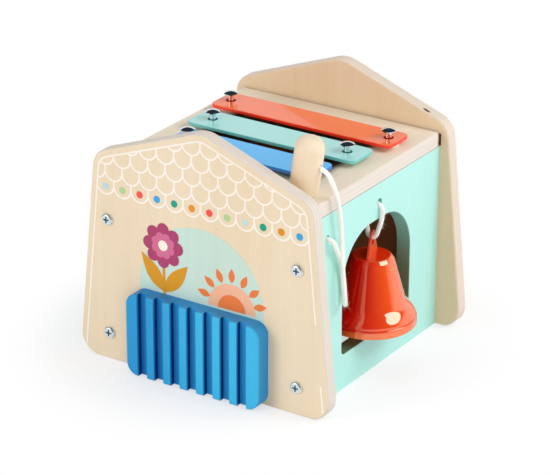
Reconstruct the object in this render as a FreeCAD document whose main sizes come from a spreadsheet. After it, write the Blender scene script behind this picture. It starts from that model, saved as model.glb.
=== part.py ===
import FreeCAD, Part
import math
import os
import re

import Sketcher
from FreeCAD import Placement, Rotation, Vector

# Wooden musical activity house. Two gable panels carry two side panels and a top board.
# Three metal bars lie on felt over a sound opening, a ribbed scraper block sits on the front,
# a bell hangs on a cord in the arched opening of the right side, and a mallet on a tether
# stands in a hole in the board.
#
# Lengths are millimetres. House coordinates run from the middle of the front face on the floor:
# x to the right, y to the back, z up. The part's own origin is the middle of the footprint,
# bell and scraper block included, so every piece is drawn in house coordinates and then moved
# by middle_x along x and front_y along y.

SIZES = {
    # Gable panels
    "house_depth": 175,
    "gable_thick": 10,
    "foot_half": 97.5,
    "eave_half": 83,
    "eave_height": 144.5,
    "ridge_height": 175,
    "foot_round": 14,
    "eave_round": 15,
    "ridge_round": 20,
    "gable_soft": 1.5,
    # Box between the gables
    "side_half": 77.5,
    "side_thick": 10,
    "side_height": 129,
    "board_thick": 10,
    "board_round": 3,
    "board_soft": 1.5,
    # Arched opening in the right side panel
    "arch_shift": 0.2,
    "arch_half": 42,
    "arch_sill": 24.4,
    "arch_top": 104.3,
    "arch_round": 33.5,
    "sill_round": 3.5,
    "arch_soft": 0.8,
    # Sound opening in the board
    "sound_half": 26,
    "sound_reach": 42.5,
    "sound_round": 8,
    # Scraper block
    "scraper_half": 51,
    "scraper_low": 0.5,
    "scraper_high": 58.5,
    "scraper_thick": 12,
    "scraper_round": 8.5,
    "scraper_soft": 1.2,
    "groove_count": 7,
    "groove_wide": 7.4,
    "groove_pitch": 12.8,
    "groove_deep": 4.6,
    # Bars, pins and felts
    "bars_shift": 2.5,
    "bar_pitch": 35.5,
    "bar_wide": 26,
    "bar_thick": 2.5,
    "bar_round": 4.5,
    "bar_soft": 0.5,
    "bar_hole": 7,
    "bar_lift": 4.8,
    "coral_half": 70,
    "coral_pin": 61.5,
    "mint_half": 65,
    "mint_pin": 52,
    "blue_half": 56.5,
    "blue_pin": 47.5,
    "felt_dia": 14,
    "felt_thick": 2.9,
    "felt_hole": 5.5,
    "pin_dia": 4.5,
    "pin_head_dia": 9.8,
    "pin_head_rise": 1.9,
    "pin_head_edge": 0.5,
    "pin_sunk": 8,
    # Screws and dowels
    "screw_dia": 4,
    "screw_head_dia": 8.5,
    "screw_head_rise": 2,
    "screw_head_round": 1.5,
    "screw_long": 35,
    "screw_low": 19.5,
    "screw_high": 100,
    "cross_long": 4.4,
    "cross_wide": 1.1,
    "cross_deep": 1.2,
    "scraper_screw_long": 18,
    "scraper_screw_height": 29.5,
    "dowel_dia": 6,
    "dowel_up": 7,
    "dowel_down": 12,
    "dowel_inset": 28.5,
    # Mallet
    "mallet_x": 58.3,
    "mallet_inset": 18.3,
    "mallet_lean": 8,
    "mallet_play": 0.25,
    "head_dia": 19,
    "head_long": 37.4,
    "head_round": 8,
    "handle_dia": 10,
    "handle_long": 100,
    "handle_seat": 12,
    "handle_round": 3,
    "head_hole_up": 19.1,
    "head_hole_deep": 6,
    # Cords and their holes
    "cord_dia": 3.2,
    "tether_play": 0.5,
    "tether_inset": 16.2,
    "tether_height": 113.2,
    "bell_hole": 6,
    "bell_hole_height": 115.5,
    "knot_thick": 6,
    "knot_dia": 8.6,
    "knot_round": 2.4,
    # Bell
    "bell_shift": 1.25,
    "bell_eye_height": 90.4,
    "bell_high": 47.4,
    "bell_wall": 1.2,
    "crown_radius": 13.2,
    "crown_round": 2.5,
    "waist_radius": 22,
    "waist_drop": 29,
    "flare_radius": 27,
    "flare_drop": 36.6,
    "shoulder_radius": 29.7,
    "lip_radius": 30.2,
    "lip_high": 4,
    # Lug on the crown: a plate with a hole for the cord and, inside the bell, a tab
    "eye_rise": 12,
    "lug_thick": 1.3,
    "lug_half": 10.4,
    "lug_foot": 0.6,
    "lug_rise": 16.5,
    "lug_tip_half": 2.6,
    "lug_tip_round": 2.3,
    "lug_turn": 14.8,
    "eye_half": 2.5,
    "eye_high": 7.6,
    "eye_over_cord": 0.6,
    "tab_half": 3.4,
    "tab_wall": 1.2,
    "tab_hole": 3.4,
    # Clapper
    "clapper_drop": 4.5,
    "ring_radius": 3.4,
    "wire_dia": 1.4,
    "clapper_long": 35,
    "clapper_ball": 11,
    # Clearances
    "fit": 0.05,
    "seat": 0.1,
    "soft_gap": 0.3,
}

# Worked out in the sheet from the sizes above
DERIVED = {
    "foot_reach": "foot_half - foot_round * (foot_half - eave_half) / eave_height",
    "middle_x": "(foot_reach - (side_half - side_thick / 2) - lip_radius) / 2",
    "front_y": "-(house_depth + screw_head_rise - scraper_thick) / 2",
    "gable_back": "house_depth - gable_thick",
    "house_middle": "house_depth / 2",
    "side_inner": "side_half - side_thick",
    "side_middle": "side_half - side_thick / 2",
    "board_top": "side_height + board_thick",
    "bar_low": "board_top + felt_thick + seat",
    "bar_top": "bar_low + bar_thick",
    "arch_back": "house_middle - arch_shift",
    "sound_front": "house_middle - sound_reach",
    "sound_back": "house_middle + sound_reach",
    "dowel_front": "gable_thick + dowel_inset",
    "dowel_back": "gable_back - dowel_inset",
    "bars_back": "house_middle + bars_shift",
    "coral_back": "bars_back + bar_pitch",
    "mint_back": "bars_back",
    "blue_back": "bars_back - bar_pitch",
    "mallet_back": "gable_thick + mallet_inset",
    "mallet_hole_x": "mallet_x - tan(mallet_lean) * board_thick / 2",
    "mallet_hole": "handle_dia / cos(mallet_lean) + board_thick * tan(mallet_lean) + 2 * mallet_play",
    "mallet_rise": "head_dia / 2 * sin(mallet_lean) + seat",
    "mallet_z": "board_top + mallet_rise",
    "mallet_seat_x": "mallet_x + mallet_rise * tan(mallet_lean)",
    "tether_back": "gable_thick + tether_inset",
    "bell_back": "house_middle + bell_shift",
    "crown_z": "bell_eye_height - eye_rise",
    "knot_face": "side_inner - soft_gap",
    "knot_back": "knot_face - knot_thick",
    "scraper_screw_x": "2.5 * groove_pitch",
}

doc = FreeCAD.newDocument("activity_house")
sheet = doc.addObject("Spreadsheet::Sheet", "Sizes")
for row, (alias, entry) in enumerate(list(SIZES.items()) + list(DERIVED.items()), start=1):
    sheet.set(f"A{row}", alias)
    sheet.set(f"B{row}", str(entry) if alias in SIZES else f"={entry}")
    sheet.setAlias(f"B{row}", alias)
doc.recompute()

PIECES = []


def bound(formula):
    """The formula with every size's name pointing at its cell in the sheet."""
    return re.sub(r"[a-z_]+[a-z0-9_]*", lambda word: in_sheet(word.group()), formula)


def in_sheet(word):
    return f"Sizes.{word}" if word in SIZES or word in DERIVED else word


def size(formula):
    """The number that a formula of sizes gives now."""
    return float(sheet.evalExpression(formula))


def bind(thing, **formulas):
    """Bind properties to formulas; a double underscore stands for a dot in the property's path."""
    for path, formula in formulas.items():
        thing.setExpression(path.replace("__", "."), bound(formula))


def place(thing, x="0", y="0", z="0"):
    """Put a piece at a point of the house and count it as one of the part's own pieces."""
    bind(thing, Placement__Base__x=f"middle_x + {x}", Placement__Base__y=f"front_y + {y}")
    bind(thing, Placement__Base__z=z)
    PIECES.append(thing)
    return thing


def new_body(label):
    body = doc.addObject("PartDesign::Body", label)
    body.Label = label
    return body


def origin(body, role):
    """The body's own origin plane or axis of that role."""
    return next(item for item in body.Origin.OriginFeatures if item.Role == role)


def new_sketch(body, role, **offset):
    """An empty sketch on one of the body's origin planes, shifted in its own x, y and z."""
    sketch = body.newObject("Sketcher::SketchObject", f"{body.Name}_sketch")
    sketch.AttachmentSupport = [(origin(body, role), "")]
    sketch.MapMode = "FlatFace"
    for axis, formula in offset.items():
        bind(sketch, **{f"AttachmentOffset__Base__{axis}": formula})
    return sketch


def fix_point(sketch, line, end, x, y):
    """Hold one end of a line or a circle's centre at the coordinates that two formulas give."""
    for kind, formula, axis in (("DistanceX", x, -2), ("DistanceY", y, -1)):
        if formula == "0":
            sketch.addConstraint(Sketcher.Constraint("PointOnObject", line, end, axis))
            continue
        rule = Sketcher.Constraint(kind, -1, 1, line, end, size(formula))
        number = sketch.addConstraint(rule)
        sketch.setExpression(f"Constraints[{number}]", bound(formula))


def add_outline(sketch, corners, domed=None):
    """A closed polygon through corners given as pairs of formulas.

    The side numbered domed is an arc that rises to the vertical axis and is level there."""
    points = [Vector(size(x), size(y), 0) for x, y in corners]
    first = sketch.GeometryCount
    for index, (here, there) in enumerate(zip(points, points[1:] + points[:1])):
        side = dome_arc(here, there) if index == domed else Part.LineSegment(here, there)
        sketch.addGeometry(side)
    if domed is not None:
        sketch.addConstraint(Sketcher.Constraint("PointOnObject", first + domed, 3, -2))
    for index, (x, y) in enumerate(corners):
        following = first + (index + 1) % len(corners)
        sketch.addConstraint(Sketcher.Constraint("Coincident", first + index, 2, following, 1))
        fix_point(sketch, first + index, 1, x, y)


def dome_arc(rim, top):
    """The arc from a point right of the vertical axis up to a point on it, centred on the axis."""
    rise = top.y - rim.y
    radius = (rim.x**2 + rise**2) / (2 * rise)
    centre = Vector(0, top.y - radius, 0)
    halfway = Vector(rim).add(top).sub(centre).sub(centre).normalize().multiply(radius)
    return Part.Arc(rim, centre.add(halfway), top)


def add_box(sketch, low_x, high_x, low_y, high_y):
    add_outline(sketch, [(low_x, low_y), (high_x, low_y), (high_x, high_y), (low_x, high_y)])


def add_circle(sketch, x, y, diameter):
    circle = Part.Circle(Vector(size(x), size(y), 0), Vector(0, 0, 1), size(diameter) / 2)
    number = sketch.addGeometry(circle)
    fix_point(sketch, number, 3, x, y)
    rule = sketch.addConstraint(Sketcher.Constraint("Diameter", number, size(diameter)))
    sketch.setExpression(f"Constraints[{rule}]", bound(diameter))


def pad(body, sketch, length, backwards=False, middle=False):
    feature = body.newObject("PartDesign::Pad", f"{body.Name}_pad")
    feature.Profile = sketch
    feature.Reversed = backwards
    if middle:
        feature.SideType = "Symmetric"
    bind(feature, Length=length)
    doc.recompute()
    return feature


def pocket(body, sketch, depth, backwards=False):
    """Cut the sketch into the body, against the sketch's normal unless backwards."""
    feature = body.newObject("PartDesign::Pocket", f"{body.Name}_pocket")
    feature.Profile = sketch
    feature.Reversed = backwards
    bind(feature, Length=depth)
    doc.recompute()
    return feature


def revolve(body, sketch, axis="V_Axis"):
    feature = body.newObject("PartDesign::Revolution", f"{body.Name}_turned")
    feature.Profile = sketch
    feature.ReferenceAxis = (sketch, [axis])
    feature.Angle = 360
    doc.recompute()
    return feature


def round_edges(body, names, radius):
    """Round the named edges of the body's newest feature."""
    feature = body.newObject("PartDesign::Fillet", f"{body.Name}_round")
    feature.Base = (body.Group[-2], names)
    bind(feature, Radius=radius)
    doc.recompute()
    return feature


def edges_along(body, axis, points=None):
    """Straight edges along an axis, all of them or those that pass through given points.

    A point is a pair of formulas for the two other coordinates, in x, y, z order."""
    others = [index for index in range(3) if index != axis]
    wanted = [(size(a), size(b)) for a, b in points or []]
    found = []
    for number, edge in enumerate(body.Tip.Shape.Edges, start=1):
        ends = [vertex.Point for vertex in edge.Vertexes]
        if len(ends) != 2 or not isinstance(edge.Curve, Part.Line):
            continue
        if any(abs(ends[0][index] - ends[1][index]) > 1e-4 for index in others):
            continue
        spot = [ends[0][index] for index in others]
        if points is None or any(math.dist(spot, point) < 1e-3 for point in wanted):
            found.append(f"Edge{number}")
    return found


def edges_in_plane(body, axis, formula):
    """Every edge that lies in the plane where one coordinate has the formula's value."""
    level = size(formula)
    found = []
    for number, edge in enumerate(body.Tip.Shape.Edges, start=1):
        box = edge.BoundBox
        low = (box.XMin, box.YMin, box.ZMin)[axis]
        high = (box.XMax, box.YMax, box.ZMax)[axis]
        if abs(low - level) < 1e-3 and abs(high - level) < 1e-3:
            found.append(f"Edge{number}")
    return found


def mirror_in_x(body, features):
    """Mirror features from the right half of the house to the left."""
    feature = body.newObject("PartDesign::Mirrored", f"{body.Name}_mirrored")
    feature.Originals = features
    feature.MirrorPlane = (origin(body, "YZ_Plane"), [""])
    body.Tip = feature
    doc.recompute()
    return feature


def four_times(body, features, role, step):
    """Mirror features in x and repeat the pair once, a step along the axis of that role."""
    mirrored = doc.addObject("PartDesign::Mirrored", f"{body.Name}_mirrored")
    mirrored.MirrorPlane = (origin(body, "YZ_Plane"), [""])
    repeated = doc.addObject("PartDesign::LinearPattern", f"{body.Name}_repeated")
    repeated.Direction = (origin(body, role), [""])
    repeated.Occurrences = 2
    bind(repeated, Length=step)
    both = body.newObject("PartDesign::MultiTransform", f"{body.Name}_four")
    body.addObject(mirrored)
    body.addObject(repeated)
    both.Originals = features
    both.Transformations = [mirrored, repeated]
    body.Tip = both
    doc.recompute()
    return both


def screw_spots():
    """The four screws of a gable stand in the middle of the side panels' ends."""
    return [(x, z) for x in ("side_middle", "-side_middle") for z in ("screw_low", "screw_high")]


# Gable panels


def make_gable(label, low_y, scraper_holes):
    """A gable panel from low_y to low_y + gable_thick, in house coordinates."""
    body = new_body(label)
    outline = new_sketch(body, "XZ_Plane", z=f"-({low_y})")
    right = [("foot_half", "0"), ("eave_half", "eave_height")]
    left = [("-eave_half", "eave_height"), ("-foot_half", "0")]
    add_outline(outline, right + [("0", "ridge_height")] + left)
    pad(body, outline, "gable_thick", backwards=True)
    feet = [("foot_half", "0"), ("-foot_half", "0")]
    eaves = [("eave_half", "eave_height"), ("-eave_half", "eave_height")]
    round_edges(body, edges_along(body, 1, feet), "foot_round")
    round_edges(body, edges_along(body, 1, eaves), "eave_round")
    round_edges(body, edges_along(body, 1, [("0", "ridge_height")]), "ridge_round")
    rims = edges_in_plane(body, 1, low_y) + edges_in_plane(body, 1, f"{low_y} + gable_thick")
    round_edges(body, rims, "gable_soft")
    holes = new_sketch(body, "XZ_Plane", z=f"-({low_y})")
    for x, z in screw_spots():
        add_circle(holes, x, z, "screw_dia + 2 * fit")
    if scraper_holes:
        for x in ("scraper_screw_x", "-scraper_screw_x"):
            add_circle(holes, x, "scraper_screw_height", "screw_dia + 2 * fit")
    pocket(body, holes, "gable_thick")
    return place(body)


make_gable("front_panel", "0", scraper_holes=True)
make_gable("back_panel", "gable_back", scraper_holes=False)

# Side panels


def make_side_panel(label, outer_x, inwards):
    """A plain side panel between the gables, with blind holes for screws and dowels."""
    body = new_body(label)
    outline = new_sketch(body, "YZ_Plane", z=outer_x)
    add_box(outline, "gable_thick", "gable_back", "0", "side_height")
    pad(body, outline, "side_thick", backwards=inwards)
    middle = "side_middle" if inwards else "-side_middle"
    for plane_y, backwards in (("gable_thick", False), ("gable_back", True)):
        pilots = new_sketch(body, "XZ_Plane", z=f"-{plane_y}")
        for height in ("screw_low", "screw_high"):
            add_circle(pilots, middle, height, "screw_dia + 2 * fit")
        pocket(body, pilots, "screw_long - gable_thick + seat", backwards)
    sockets = new_sketch(body, "XY_Plane", z="side_height")
    for y in ("dowel_front", "dowel_back"):
        add_circle(sockets, middle, y, "dowel_dia + 2 * fit")
    pocket(body, sockets, "dowel_down + seat")
    return body


def cut_arch(body):
    """The arched opening: two large rounds meet a nearly flat crown, small rounds the sill."""
    opening = new_sketch(body, "YZ_Plane", z="side_half")
    low_y = "arch_back - arch_half"
    high_y = "arch_back + arch_half"
    add_box(opening, low_y, high_y, "arch_sill", "arch_top")
    pocket(body, opening, "side_thick")
    crown = [(low_y, "arch_top"), (high_y, "arch_top")]
    round_edges(body, edges_along(body, 0, crown), "arch_round")
    sill = [(low_y, "arch_sill"), (high_y, "arch_sill")]
    round_edges(body, edges_along(body, 0, sill), "sill_round")
    rim = [name for name in edges_in_plane(body, 0, "side_half") if inside_panel(body, name)]
    round_edges(body, rim, "arch_soft")


def inside_panel(body, name):
    """True for an edge of the arch and not of the panel's own outline."""
    centre = body.Tip.Shape.getElement(name).BoundBox.Center
    in_length = size("gable_thick") + 1 < centre.y < size("gable_back") - 1
    return in_length and 1 < centre.z < size("side_height") - 1


right_side = make_side_panel("right_side_panel", "side_half", inwards=True)
cut_arch(right_side)
cord_holes = new_sketch(right_side, "YZ_Plane", z="side_half")
add_circle(cord_holes, "bell_back", "bell_hole_height", "bell_hole")
add_circle(cord_holes, "tether_back", "tether_height", "cord_dia + 2 * tether_play")
pocket(right_side, cord_holes, "side_thick")
place(right_side)
place(make_side_panel("left_side_panel", "-side_half", inwards=False))

# Top board, with the sound opening, the pins' holes, the mallet's hole and the dowels' sockets

BARS = ("coral", "mint", "blue")

board = new_body("top_board")
board_outline = new_sketch(board, "XY_Plane", z="side_height")
add_box(board_outline, "-side_half", "side_half", "gable_thick", "gable_back")
pad(board, board_outline, "board_thick")
round_edges(board, edges_along(board, 2), "board_round")
round_edges(board, edges_in_plane(board, 2, "board_top"), "board_soft")
sound = new_sketch(board, "XY_Plane", z="board_top")
add_box(sound, "-sound_half", "sound_half", "sound_front", "sound_back")
pocket(board, sound, "board_thick")
sound_corners = [(x, y) for x in ("-sound_half", "sound_half") for y in ("sound_front", "sound_back")]
round_edges(board, edges_along(board, 2, sound_corners), "sound_round")
mallet_well = new_sketch(board, "XY_Plane", z="board_top")
add_circle(mallet_well, "mallet_hole_x", "mallet_back", "mallet_hole")
pocket(board, mallet_well, "board_thick")
pin_holes = new_sketch(board, "XY_Plane", z="board_top")
for colour in BARS:
    for x in (f"{colour}_pin", f"-{colour}_pin"):
        add_circle(pin_holes, x, f"{colour}_back", "pin_dia + 2 * fit")
pocket(board, pin_holes, "pin_sunk + seat")
board_sockets = new_sketch(board, "XY_Plane", z="side_height")
for x in ("side_middle", "-side_middle"):
    for y in ("dowel_front", "dowel_back"):
        add_circle(board_sockets, x, y, "dowel_dia + 2 * fit")
pocket(board, board_sockets, "dowel_up + seat", backwards=True)
place(board)

# Scraper block: full-height grooves leave ridges that a stick rattles over

scraper = new_body("scraper_block")
scraper_outline = new_sketch(scraper, "XZ_Plane")
add_box(scraper_outline, "-scraper_half", "scraper_half", "scraper_low", "scraper_high")
pad(scraper, scraper_outline, "scraper_thick")
round_edges(scraper, edges_along(scraper, 1), "scraper_round")
round_edges(scraper, edges_in_plane(scraper, 1, "-scraper_thick"), "scraper_soft")
pilot = new_sketch(scraper, "XZ_Plane")
for x in ("scraper_screw_x", "-scraper_screw_x"):
    add_circle(pilot, x, "scraper_screw_height", "screw_dia + 2 * fit")
pocket(scraper, pilot, "scraper_screw_long - gable_thick + seat", backwards=True)
groove_sketch = new_sketch(scraper, "XZ_Plane", z="scraper_thick")
first_groove = "-groove_pitch * (groove_count - 1) / 2"
groove_low = f"{first_groove} - groove_wide / 2"
groove_high = f"{first_groove} + groove_wide / 2"
add_box(groove_sketch, groove_low, groove_high, "scraper_low", "scraper_high")
first_cut = pocket(scraper, groove_sketch, "groove_deep")
grooves = scraper.newObject("PartDesign::LinearPattern", "scraper_grooves")
grooves.Originals = [first_cut]
grooves.Direction = (origin(scraper, "X_Axis"), [""])
bind(grooves, Occurrences="groove_count", Length="groove_pitch * (groove_count - 1)")
scraper.Tip = grooves
doc.recompute()
place(scraper)

# Sounding bars, each on two felts and under two round-headed pins


def make_bar(colour):
    body = new_body(f"{colour}_bar")
    low_y = f"{colour}_back - bar_wide / 2"
    high_y = f"{colour}_back + bar_wide / 2"
    outline = new_sketch(body, "XY_Plane", z="bar_low")
    add_box(outline, f"-{colour}_half", f"{colour}_half", low_y, high_y)
    pad(body, outline, "bar_thick")
    round_edges(body, edges_along(body, 2), "bar_round")
    rims = edges_in_plane(body, 2, "bar_low") + edges_in_plane(body, 2, "bar_top")
    round_edges(body, rims, "bar_soft")
    holes = new_sketch(body, "XY_Plane", z="bar_top")
    for x in (f"{colour}_pin", f"-{colour}_pin"):
        add_circle(holes, x, f"{colour}_back", "bar_hole")
    pocket(body, holes, "bar_thick")
    return place(body)


def make_pins(colour):
    """Two turned pins: a shank in the board's hole and a low domed head over the bar."""
    body = new_body(f"{colour}_pins")
    profile = new_sketch(body, "XZ_Plane", x=f"{colour}_pin", z=f"-{colour}_back")
    foot = "board_top - pin_sunk"
    neck = "bar_top + bar_lift"
    shank = [("0", foot), ("pin_dia / 2", foot), ("pin_dia / 2", neck)]
    rim = [("pin_head_dia / 2", neck), ("pin_head_dia / 2", f"{neck} + pin_head_edge")]
    add_outline(profile, shank + rim + [("0", f"{neck} + pin_head_rise")], domed=4)
    turned = revolve(body, profile)
    mirror_in_x(body, [turned])
    return place(body)


def make_felts(colour):
    """Two felt washers between the board and the bar."""
    body = new_body(f"{colour}_felts")
    rings = new_sketch(body, "XY_Plane", z="board_top")
    add_circle(rings, f"{colour}_pin", f"{colour}_back", "felt_dia")
    add_circle(rings, f"{colour}_pin", f"{colour}_back", "felt_hole")
    washer = pad(body, rings, "felt_thick")
    mirror_in_x(body, [washer])
    return place(body)


for colour in BARS:
    make_bar(colour)
    make_pins(colour)
    make_felts(colour)

# Screws: pan heads with a cross recess, and dowels between the board and the side panels


def make_screws(label, face_y, towards, x, z, shank_long):
    """One pan-headed screw and its recess, on the face at face_y.

    The head stands off the face on the side of towards (-1 front, 1 back)."""
    body = new_body(label)
    out = "-" if towards < 0 else "+"
    back = "+" if towards < 0 else "-"
    crest = f"{face_y} {out} screw_head_rise"
    tip = f"{face_y} {back} {shank_long}"
    profile = new_sketch(body, "XY_Plane", x=x, z=z)
    head = [("0", crest), ("screw_head_dia / 2", crest), ("screw_head_dia / 2", face_y)]
    shank = [("screw_dia / 2", face_y), ("screw_dia / 2", tip), ("0", tip)]
    add_outline(profile, head + shank)
    turned = revolve(body, profile)
    rounded = round_edges(body, edges_in_plane(body, 1, crest), "screw_head_round")
    cross = new_sketch(body, "XZ_Plane", x=x, y=z, z=f"-({crest})")
    long, wide = "cross_long / 2", "cross_wide / 2"
    arm = [(wide, long), (wide, wide), (long, wide), (long, f"-{wide}"), (wide, f"-{wide}")]
    far = [(wide, f"-{long}"), (f"-{wide}", f"-{long}"), (f"-{wide}", f"-{wide}")]
    last = [(f"-{long}", f"-{wide}"), (f"-{long}", wide), (f"-{wide}", wide), (f"-{wide}", long)]
    add_outline(cross, arm + far + last)
    recess = pocket(body, cross, "cross_deep", backwards=towards > 0)
    return body, [turned, rounded, recess]


for label, face_y, towards in (("front_screws", "0", -1), ("back_screws", "house_depth", 1)):
    screws, steps = make_screws(label, face_y, towards, "side_middle", "screw_low", "screw_long")
    four_times(screws, steps, "Z_Axis", "screw_high - screw_low")
    place(screws)

screws, steps = make_screws(
    "scraper_screws", "gable_thick", 1, "scraper_screw_x", "scraper_screw_height", "scraper_screw_long"
)
mirror_in_x(screws, steps)
place(screws)

dowels = new_body("board_dowels")
dowel_circle = new_sketch(dowels, "XY_Plane", z="side_height - dowel_down")
add_circle(dowel_circle, "side_middle", "dowel_front", "dowel_dia")
dowel = pad(dowels, dowel_circle, "dowel_down + dowel_up")
four_times(dowels, [dowel], "Y_Axis", "dowel_back - dowel_front")
place(dowels)

# Mallet: a turned head on a dowel handle. It is drawn upright about its shoulder and then
# leans in the board's hole, so that the shoulder's rim rests on the board.


def lean(body):
    """Stand a mallet piece in the board's hole, leaning to the right."""
    body.Placement = Placement(Vector(), Rotation(Vector(0, 1, 0), size("mallet_lean")))
    bind(body, Placement__Rotation__Angle="mallet_lean")
    return place(body, "mallet_seat_x", "mallet_back", "mallet_z")


head = new_body("mallet_head")
head_profile = new_sketch(head, "XZ_Plane")
add_box(head_profile, "0", "head_dia / 2", "0", "head_long")
revolve(head, head_profile)
round_edges(head, edges_in_plane(head, 2, "head_long"), "head_round")
handle_bore = new_sketch(head, "XY_Plane")
add_circle(handle_bore, "0", "0", "handle_dia + 2 * fit")
pocket(head, handle_bore, "handle_seat + seat", backwards=True)
cord_bore = new_sketch(head, "YZ_Plane", z="head_dia / 2")
add_circle(cord_bore, "0", "head_hole_up", "cord_dia + 2 * tether_play")
pocket(head, cord_bore, "head_hole_deep")
lean(head)

handle = new_body("mallet_handle")
handle_circle = new_sketch(handle, "XY_Plane", z="handle_seat - handle_long")
add_circle(handle_circle, "0", "0", "handle_dia")
pad(handle, handle_circle, "handle_long")
round_edges(handle, edges_in_plane(handle, 2, "handle_seat - handle_long"), "handle_round")
lean(handle)

# Bell: the outer form is turned, hollowed to its wall and slotted for the lug's tab. Bell and
# lug are drawn about the bell's axis and turned a little about it.


def hang(body):
    """Put a piece of the bell on the bell's axis, turned as the bell hangs."""
    body.Placement = Placement(Vector(), Rotation(Vector(0, 0, 1), size("lug_turn")))
    bind(body, Placement__Rotation__Angle="lug_turn")
    return place(body, "side_middle", "bell_back", "crown_z")


bell = new_body("bell_shell")
bell_profile = new_sketch(bell, "XZ_Plane")
BELL_CORNERS = [
    ("0", "-bell_high"),
    ("0", "0"),
    ("crown_radius", "0"),
    ("waist_radius", "-waist_drop"),
    ("flare_radius", "-flare_drop"),
    ("shoulder_radius", "lip_high - bell_high"),
    ("shoulder_radius", "-bell_high"),
]


def arc_from(start, end, along):
    """The arc that leaves start in the direction along and reaches end, and its last direction.

    A sketch keeps its arcs counterclockwise, so an arc that turns right is stored from its end."""
    chord = end.sub(start)
    normal = Vector(-along.y, along.x, 0).normalize()
    radius = chord.Length**2 / (2 * chord.dot(normal))
    centre = start.add(Vector(normal).multiply(radius))
    half = math.asin(max(-1.0, min(1.0, chord.Length / (2 * abs(radius)))))
    apex = Vector(start).add(end).multiply(0.5).sub(centre).normalize().multiply(abs(radius)).add(centre)
    finish = Rotation(Vector(0, 0, 1), math.degrees(2 * half) * (1 if radius > 0 else -1)).multVec(along)
    counterclockwise = radius > 0
    arc = Part.Arc(start, apex, end) if counterclockwise else Part.Arc(end, apex, start)
    return arc, finish


def draw_bell(sketch):
    """Straight crown and side, a concave and a convex arc for the flare, and a lip."""
    points = [Vector(size(x), size(y), 0) for x, y in BELL_CORNERS]
    flare, after_flare = arc_from(points[3], points[4], points[3].sub(points[2]).normalize())
    shoulder, _ = arc_from(points[4], points[5], after_flare)
    edges = [Part.LineSegment(here, there) for here, there in zip(points, points[1:] + points[:1])]
    edges[3] = flare
    edges[4] = shoulder
    ends = []
    for edge, start in zip(edges, points):
        number = sketch.addGeometry(edge)
        stored = sketch.Geometry[number]
        starts_here = stored.StartPoint.distanceToPoint(start) < 1e-6
        ends.append((1, 2) if starts_here else (2, 1))
    for number, (corner_x, corner_y) in enumerate(BELL_CORNERS):
        following = (number + 1) % len(edges)
        kind = "Tangent" if number in (2, 3) else "Coincident"
        join = (kind, number, ends[number][1], following, ends[following][0])
        sketch.addConstraint(Sketcher.Constraint(*join))
        fix_point(sketch, number, ends[number][0], corner_x, corner_y)


draw_bell(bell_profile)
revolve(bell, bell_profile)
round_edges(bell, edges_in_plane(bell, 2, "0"), "crown_round")
hollow = bell.newObject("PartDesign::Thickness", "bell_hollow")
mouth = min(enumerate(bell.Group[-2].Shape.Faces, start=1), key=lambda item: item[1].CenterOfMass.z)
hollow.Base = (bell.Group[-2], [f"Face{mouth[0]}"])
hollow.Reversed = True
bind(hollow, Value="bell_wall")
doc.recompute()
lip = new_sketch(bell, "XZ_Plane")
add_box(lip, "shoulder_radius - bell_wall", "lip_radius", "-bell_high", "lip_high - bell_high")
revolve(bell, lip)
slot = new_sketch(bell, "XY_Plane")
slot_x, slot_y = "lug_thick / 2 + seat", "tab_half + seat"
add_box(slot, f"-({slot_x})", slot_x, f"-({slot_y})", slot_y)
pocket(bell, slot, "2 * bell_wall")
hang(bell)

# Lug: a plate that stands on the crown, its tab through the slot

lug = new_body("bell_lug")
lug_outline = new_sketch(lug, "YZ_Plane")
tab_end = "-(clapper_drop + tab_hole / 2 + tab_wall)"
right_side_of_lug = [
    ("tab_half", tab_end),
    ("tab_half", "0"),
    ("lug_half", "0"),
    ("lug_half", "lug_foot"),
    ("lug_tip_half", "lug_rise"),
]
left_side_of_lug = [(f"-{x}", y) for x, y in reversed(right_side_of_lug)]
add_outline(lug_outline, right_side_of_lug + left_side_of_lug)
pad(lug, lug_outline, "lug_thick", middle=True)
tips = [("lug_tip_half", "lug_rise"), ("-lug_tip_half", "lug_rise")]
round_edges(lug, edges_along(lug, 0, tips), "lug_tip_round")
eye = new_sketch(lug, "YZ_Plane", z="lug_thick / 2")
eye_top = "eye_rise + cord_dia / 2 + eye_over_cord"
eye_low = f"{eye_top} - eye_high"
add_box(eye, "-eye_half", "eye_half", eye_low, eye_top)
pocket(lug, eye, "lug_thick")
eye_corners = [(y, z) for y in ("-eye_half", "eye_half") for z in (eye_low, eye_top)]
round_edges(lug, edges_along(lug, 0, eye_corners), "eye_half - seat")
tab_bore = new_sketch(lug, "YZ_Plane", z="lug_thick / 2")
add_circle(tab_bore, "0", "-clapper_drop", "tab_hole")
pocket(lug, tab_bore, "lug_thick")
hang(lug)

# Clapper: a wire with a ring that hangs in the tab's hole, and a ball on its end. It is drawn
# about the point where the ring rests in the hole.

stem_ring = doc.addObject("Part::Torus", "stem_ring")
bind(stem_ring, Radius1="ring_radius", Radius2="wire_dia / 2")
stem_ring.Placement = Placement(Vector(), Rotation(Vector(1, 0, 0), 90))
bind(stem_ring, Placement__Base__z="-ring_radius")
stem_wire = doc.addObject("Part::Cylinder", "stem_wire")
bind(stem_wire, Radius="wire_dia / 2", Height="clapper_long - 2 * ring_radius")
bind(stem_wire, Placement__Base__z="-clapper_long")
stem = doc.addObject("Part::Fuse", "clapper_stem")
stem.Label = "clapper_stem"
stem.Base = stem_ring
stem.Tool = stem_wire
place(stem, "side_middle", "bell_back", "crown_z - clapper_drop")

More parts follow.
